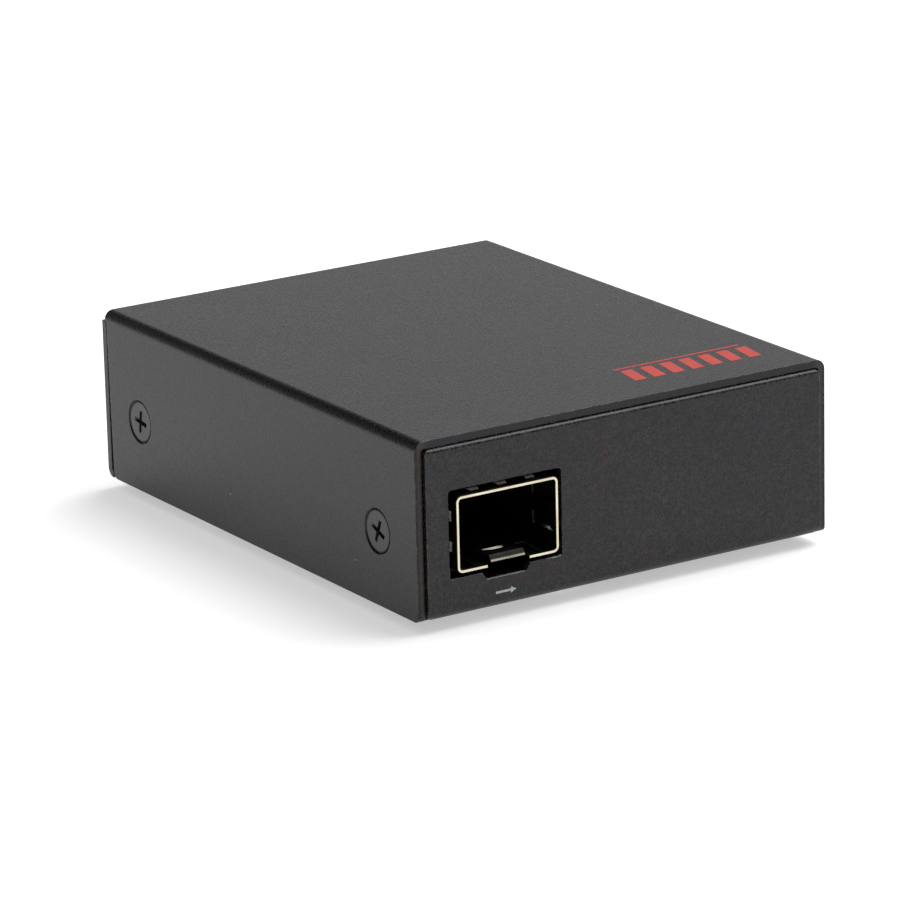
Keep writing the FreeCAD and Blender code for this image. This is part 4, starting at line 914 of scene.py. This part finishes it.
class PrintCoverMark(Piece, bpy.types.Operator):
    """Print the plain red bars on the cover"""
    bl_idname = "converter.print_cover_mark"
    bl_label = "Print the cover's mark"

    def execute(self, context):
        own = settings("marks")
        corner = Vector((COVER[1].x - own.cover_side, COVER[0].y + own.cover_front,
                         COVER[1].z + own.ink / 2))
        grown("cover_mark", "slanted bars",
              {"Count": own.bars, "Pitch": own.bar_pitch, "Width": own.bar_width,
               "Length": own.bar_length, "Lean": own.bar_lean, "Thickness": own.ink,
               "Material": printed_ink("red ink", own.cover_ink)},
              place=Matrix.Translation(corner))
        return {"FINISHED"}


class PrintPanelMark(Piece, bpy.types.Operator):
    """Print the small pale arrow under the module slot"""
    bl_idname = "converter.print_panel_mark"
    bl_label = "Print the panel's mark"

    def execute(self, context):
        own = settings("marks")
        half, head = own.arrow_length / 2, own.arrow_head
        neck = half - head
        low, high = (head - own.arrow_shaft) / 2, (head + own.arrow_shaft) / 2
        outlines = [
            [(-half, low), (neck, low), (neck, high), (-half, high)],
            [(neck, 0.0), (half, head / 2), (neck, head)],
        ]
        corner = Vector((CAGE[0].x + own.arrow_side, TRAY[0].y, TRAY[0].z + own.arrow_rise))
        place = Matrix.Translation(corner) @ Matrix.Rotation(math.radians(90), 4, "X")
        flat_piece("panel_mark", outlines, own.ink, place,
                   printed_ink("pale ink", own.panel_ink))
        return {"FINISHED"}


# ---------------------------------------------------------------- stage
def showing_rays(tree):
    """Light Path, and a mask of the rays that show the surroundings: seen, mirrored or let
    through."""
    path = tree.node("ShaderNodeLightPath").outputs
    indirect = tree.math("MAXIMUM", path["Is Glossy Ray"], path["Is Transmission Ray"])
    return path, tree.math("MAXIMUM", path["Is Camera Ray"], indirect)


def floor_material(own):
    made = bpy.data.materials.new("floor")
    made.use_nodes = True
    made.node_tree.nodes.clear()
    tree = Tree(made.node_tree)
    seen = showing_rays(tree)[1]
    matt = tree.node("ShaderNodeBsdfDiffuse", ("Color", own.floor)).outputs[0]
    glow = tree.node("ShaderNodeEmission", ("Color", (1, 1, 1)),
                     ("Strength", tree.math("MULTIPLY", seen, own.floor_glow))).outputs[0]
    both = tree.node("ShaderNodeAddShader", (0, matt), (1, glow)).outputs[0]
    tree.node("ShaderNodeOutputMaterial", ("Surface", both))
    return made


def white_room(own):
    """White where it is seen. Gloss mirrors pale walls, a bright far side and a window above."""
    far_side, toward_window = (0.57, 0.82, 0.0), (0.52, -0.33, 0.79)
    dimmest = 0.025
    world = bpy.data.worlds.new("white room")
    bpy.context.scene.world = world
    world.use_nodes = True
    world.node_tree.nodes.clear()
    tree = Tree(world.node_tree)
    path, seen = showing_rays(tree)
    way = tree.node("ShaderNodeTexCoord").outputs["Generated"]
    height = tree.split(way)["Z"]
    low_down = tree.span(height, 0.08, 0.54, 1.0, 0.0)
    lit = tree.span(tree.dot(way, far_side), 0.2, 0.78, 0.1, 0.92)
    below = tree.span(height, 0.0, 0.03, 1.0, 0.0)
    walls = tree.math("MAXIMUM", tree.math("MULTIPLY", low_down, lit), below)
    window = tree.span(tree.dot(way, toward_window), 0.86, 0.95, 0.0, own.window)
    mirrored = tree.math("ADD", tree.math("ADD", walls, window), dimmest)
    direct = tree.span(seen, 0.0, 1.0, own.room_light, 1.0)
    unmirrored = tree.math("SUBTRACT", 1.0, path["Is Glossy Ray"])
    strength = tree.math("ADD", tree.math("MULTIPLY", path["Is Glossy Ray"], mirrored),
                         tree.math("MULTIPLY", unmirrored, direct))
    sky = tree.node("ShaderNodeBackground", ("Color", (1, 1, 1)), ("Strength", strength))
    tree.node("ShaderNodeOutputWorld", ("Surface", sky.outputs[0]))


def hang_lamp(own):
    light = bpy.data.lights.new("overhead lamp", "AREA")
    light.shape = "DISK"
    light.size = own.lamp_size
    light.energy = own.lamp_light
    lamp = bpy.data.objects.new("overhead lamp", light)
    lamp.location = own.lamp_place
    downward = Vector() - Vector(own.lamp_place)
    lamp.rotation_euler = downward.to_track_quat("-Z", "Y").to_euler()
    bpy.context.scene.collection.objects.link(lamp)


def set_camera(own):
    data = bpy.data.cameras.new("camera")
    data.lens = own.lens
    data.sensor_width = 36.0
    data.clip_start, data.clip_end = 0.01, 50.0
    camera = bpy.data.objects.new("camera", data)
    a, e = own.azimuth, own.elevation
    ahead = Vector((math.sin(a) * math.cos(e), math.cos(a) * math.cos(e), -math.sin(e)))
    right = Vector((math.cos(a), -math.sin(a), 0.0))
    up = right.cross(ahead)
    turned = right * math.cos(own.roll) + up * math.sin(own.roll)
    upright = turned.cross(ahead)
    camera.matrix_world = Matrix((
        (turned.x, upright.x, -ahead.x, own.stand[0]),
        (turned.y, upright.y, -ahead.y, own.stand[1]),
        (turned.z, upright.z, -ahead.z, own.stand[2]),
        (0, 0, 0, 1)))
    bpy.context.scene.collection.objects.link(camera)
    bpy.context.scene.camera = camera


class SetCamera(Piece, bpy.types.Operator):
    """Stand the camera in front and to the left of the converter"""
    bl_idname = "converter.set_camera"
    bl_label = "Set the camera"

    def execute(self, context):
        set_camera(settings("stage"))
        return {"FINISHED"}


class SetStage(Piece, bpy.types.Operator):
    """Lay the white floor and hang the soft lamp"""
    bl_idname = "converter.set_stage"
    bl_label = "Set the stage"

    def execute(self, context):
        own = settings("stage")
        mesh = bpy.data.meshes.new("floor")
        reach = 6.0
        mesh.from_pydata([(-reach, -reach, 0), (reach, -reach, 0), (reach, reach, 0),
                          (-reach, reach, 0)], [], [(0, 1, 2, 3)])
        mesh.materials.append(floor_material(own))
        floor = bpy.data.objects.new("floor", mesh)
        context.scene.collection.objects.link(floor)
        white_room(own)
        hang_lamp(own)
        context.scene.view_settings.view_transform = "Standard"
        return {"FINISHED"}


STEPS = (SetCamera, DressHousing, DressScrews, DressCage, DressJack, DressInlet, DressLamps,
         DressBoard, SolderBoard, DressFeet, PrintCoverMark, PrintPanelMark, SetStage)


class ConverterPanel(bpy.types.Panel):
    """Lists the settings and the steps"""
    bl_idname = "VIEW3D_PT_converter"
    bl_label = "Fibre media converter"
    bl_space_type = "VIEW_3D"
    bl_region_type = "UI"
    bl_category = "Converter"

    def draw(self, context):
        for name, group in SETTINGS:
            box = self.layout.box()
            box.label(text=name.capitalize())
            own = getattr(context.scene, "converter_" + name)
            for key in group.__annotations__:
                box.prop(own, key)
        for step in STEPS:
            self.layout.operator(step.bl_idname)


def register():
    for name, group in SETTINGS:
        bpy.utils.register_class(group)
        setattr(bpy.types.Scene, "converter_" + name, bpy.props.PointerProperty(type=group))
    for step in STEPS:
        bpy.utils.register_class(step)
    bpy.utils.register_class(ConverterPanel)


def unregister():
    bpy.utils.unregister_class(ConverterPanel)
    for step in reversed(STEPS):
        bpy.utils.unregister_class(step)
    for name, group in reversed(SETTINGS):
        delattr(bpy.types.Scene, "converter_" + name)
        bpy.utils.unregister_class(group)


def main():
    register()
    make_effects()
    make_shapers()
    for step in STEPS:
        group, name = step.bl_idname.split(".")
        getattr(getattr(bpy.ops, group), name)()


if __name__ == "__main__":
    main()
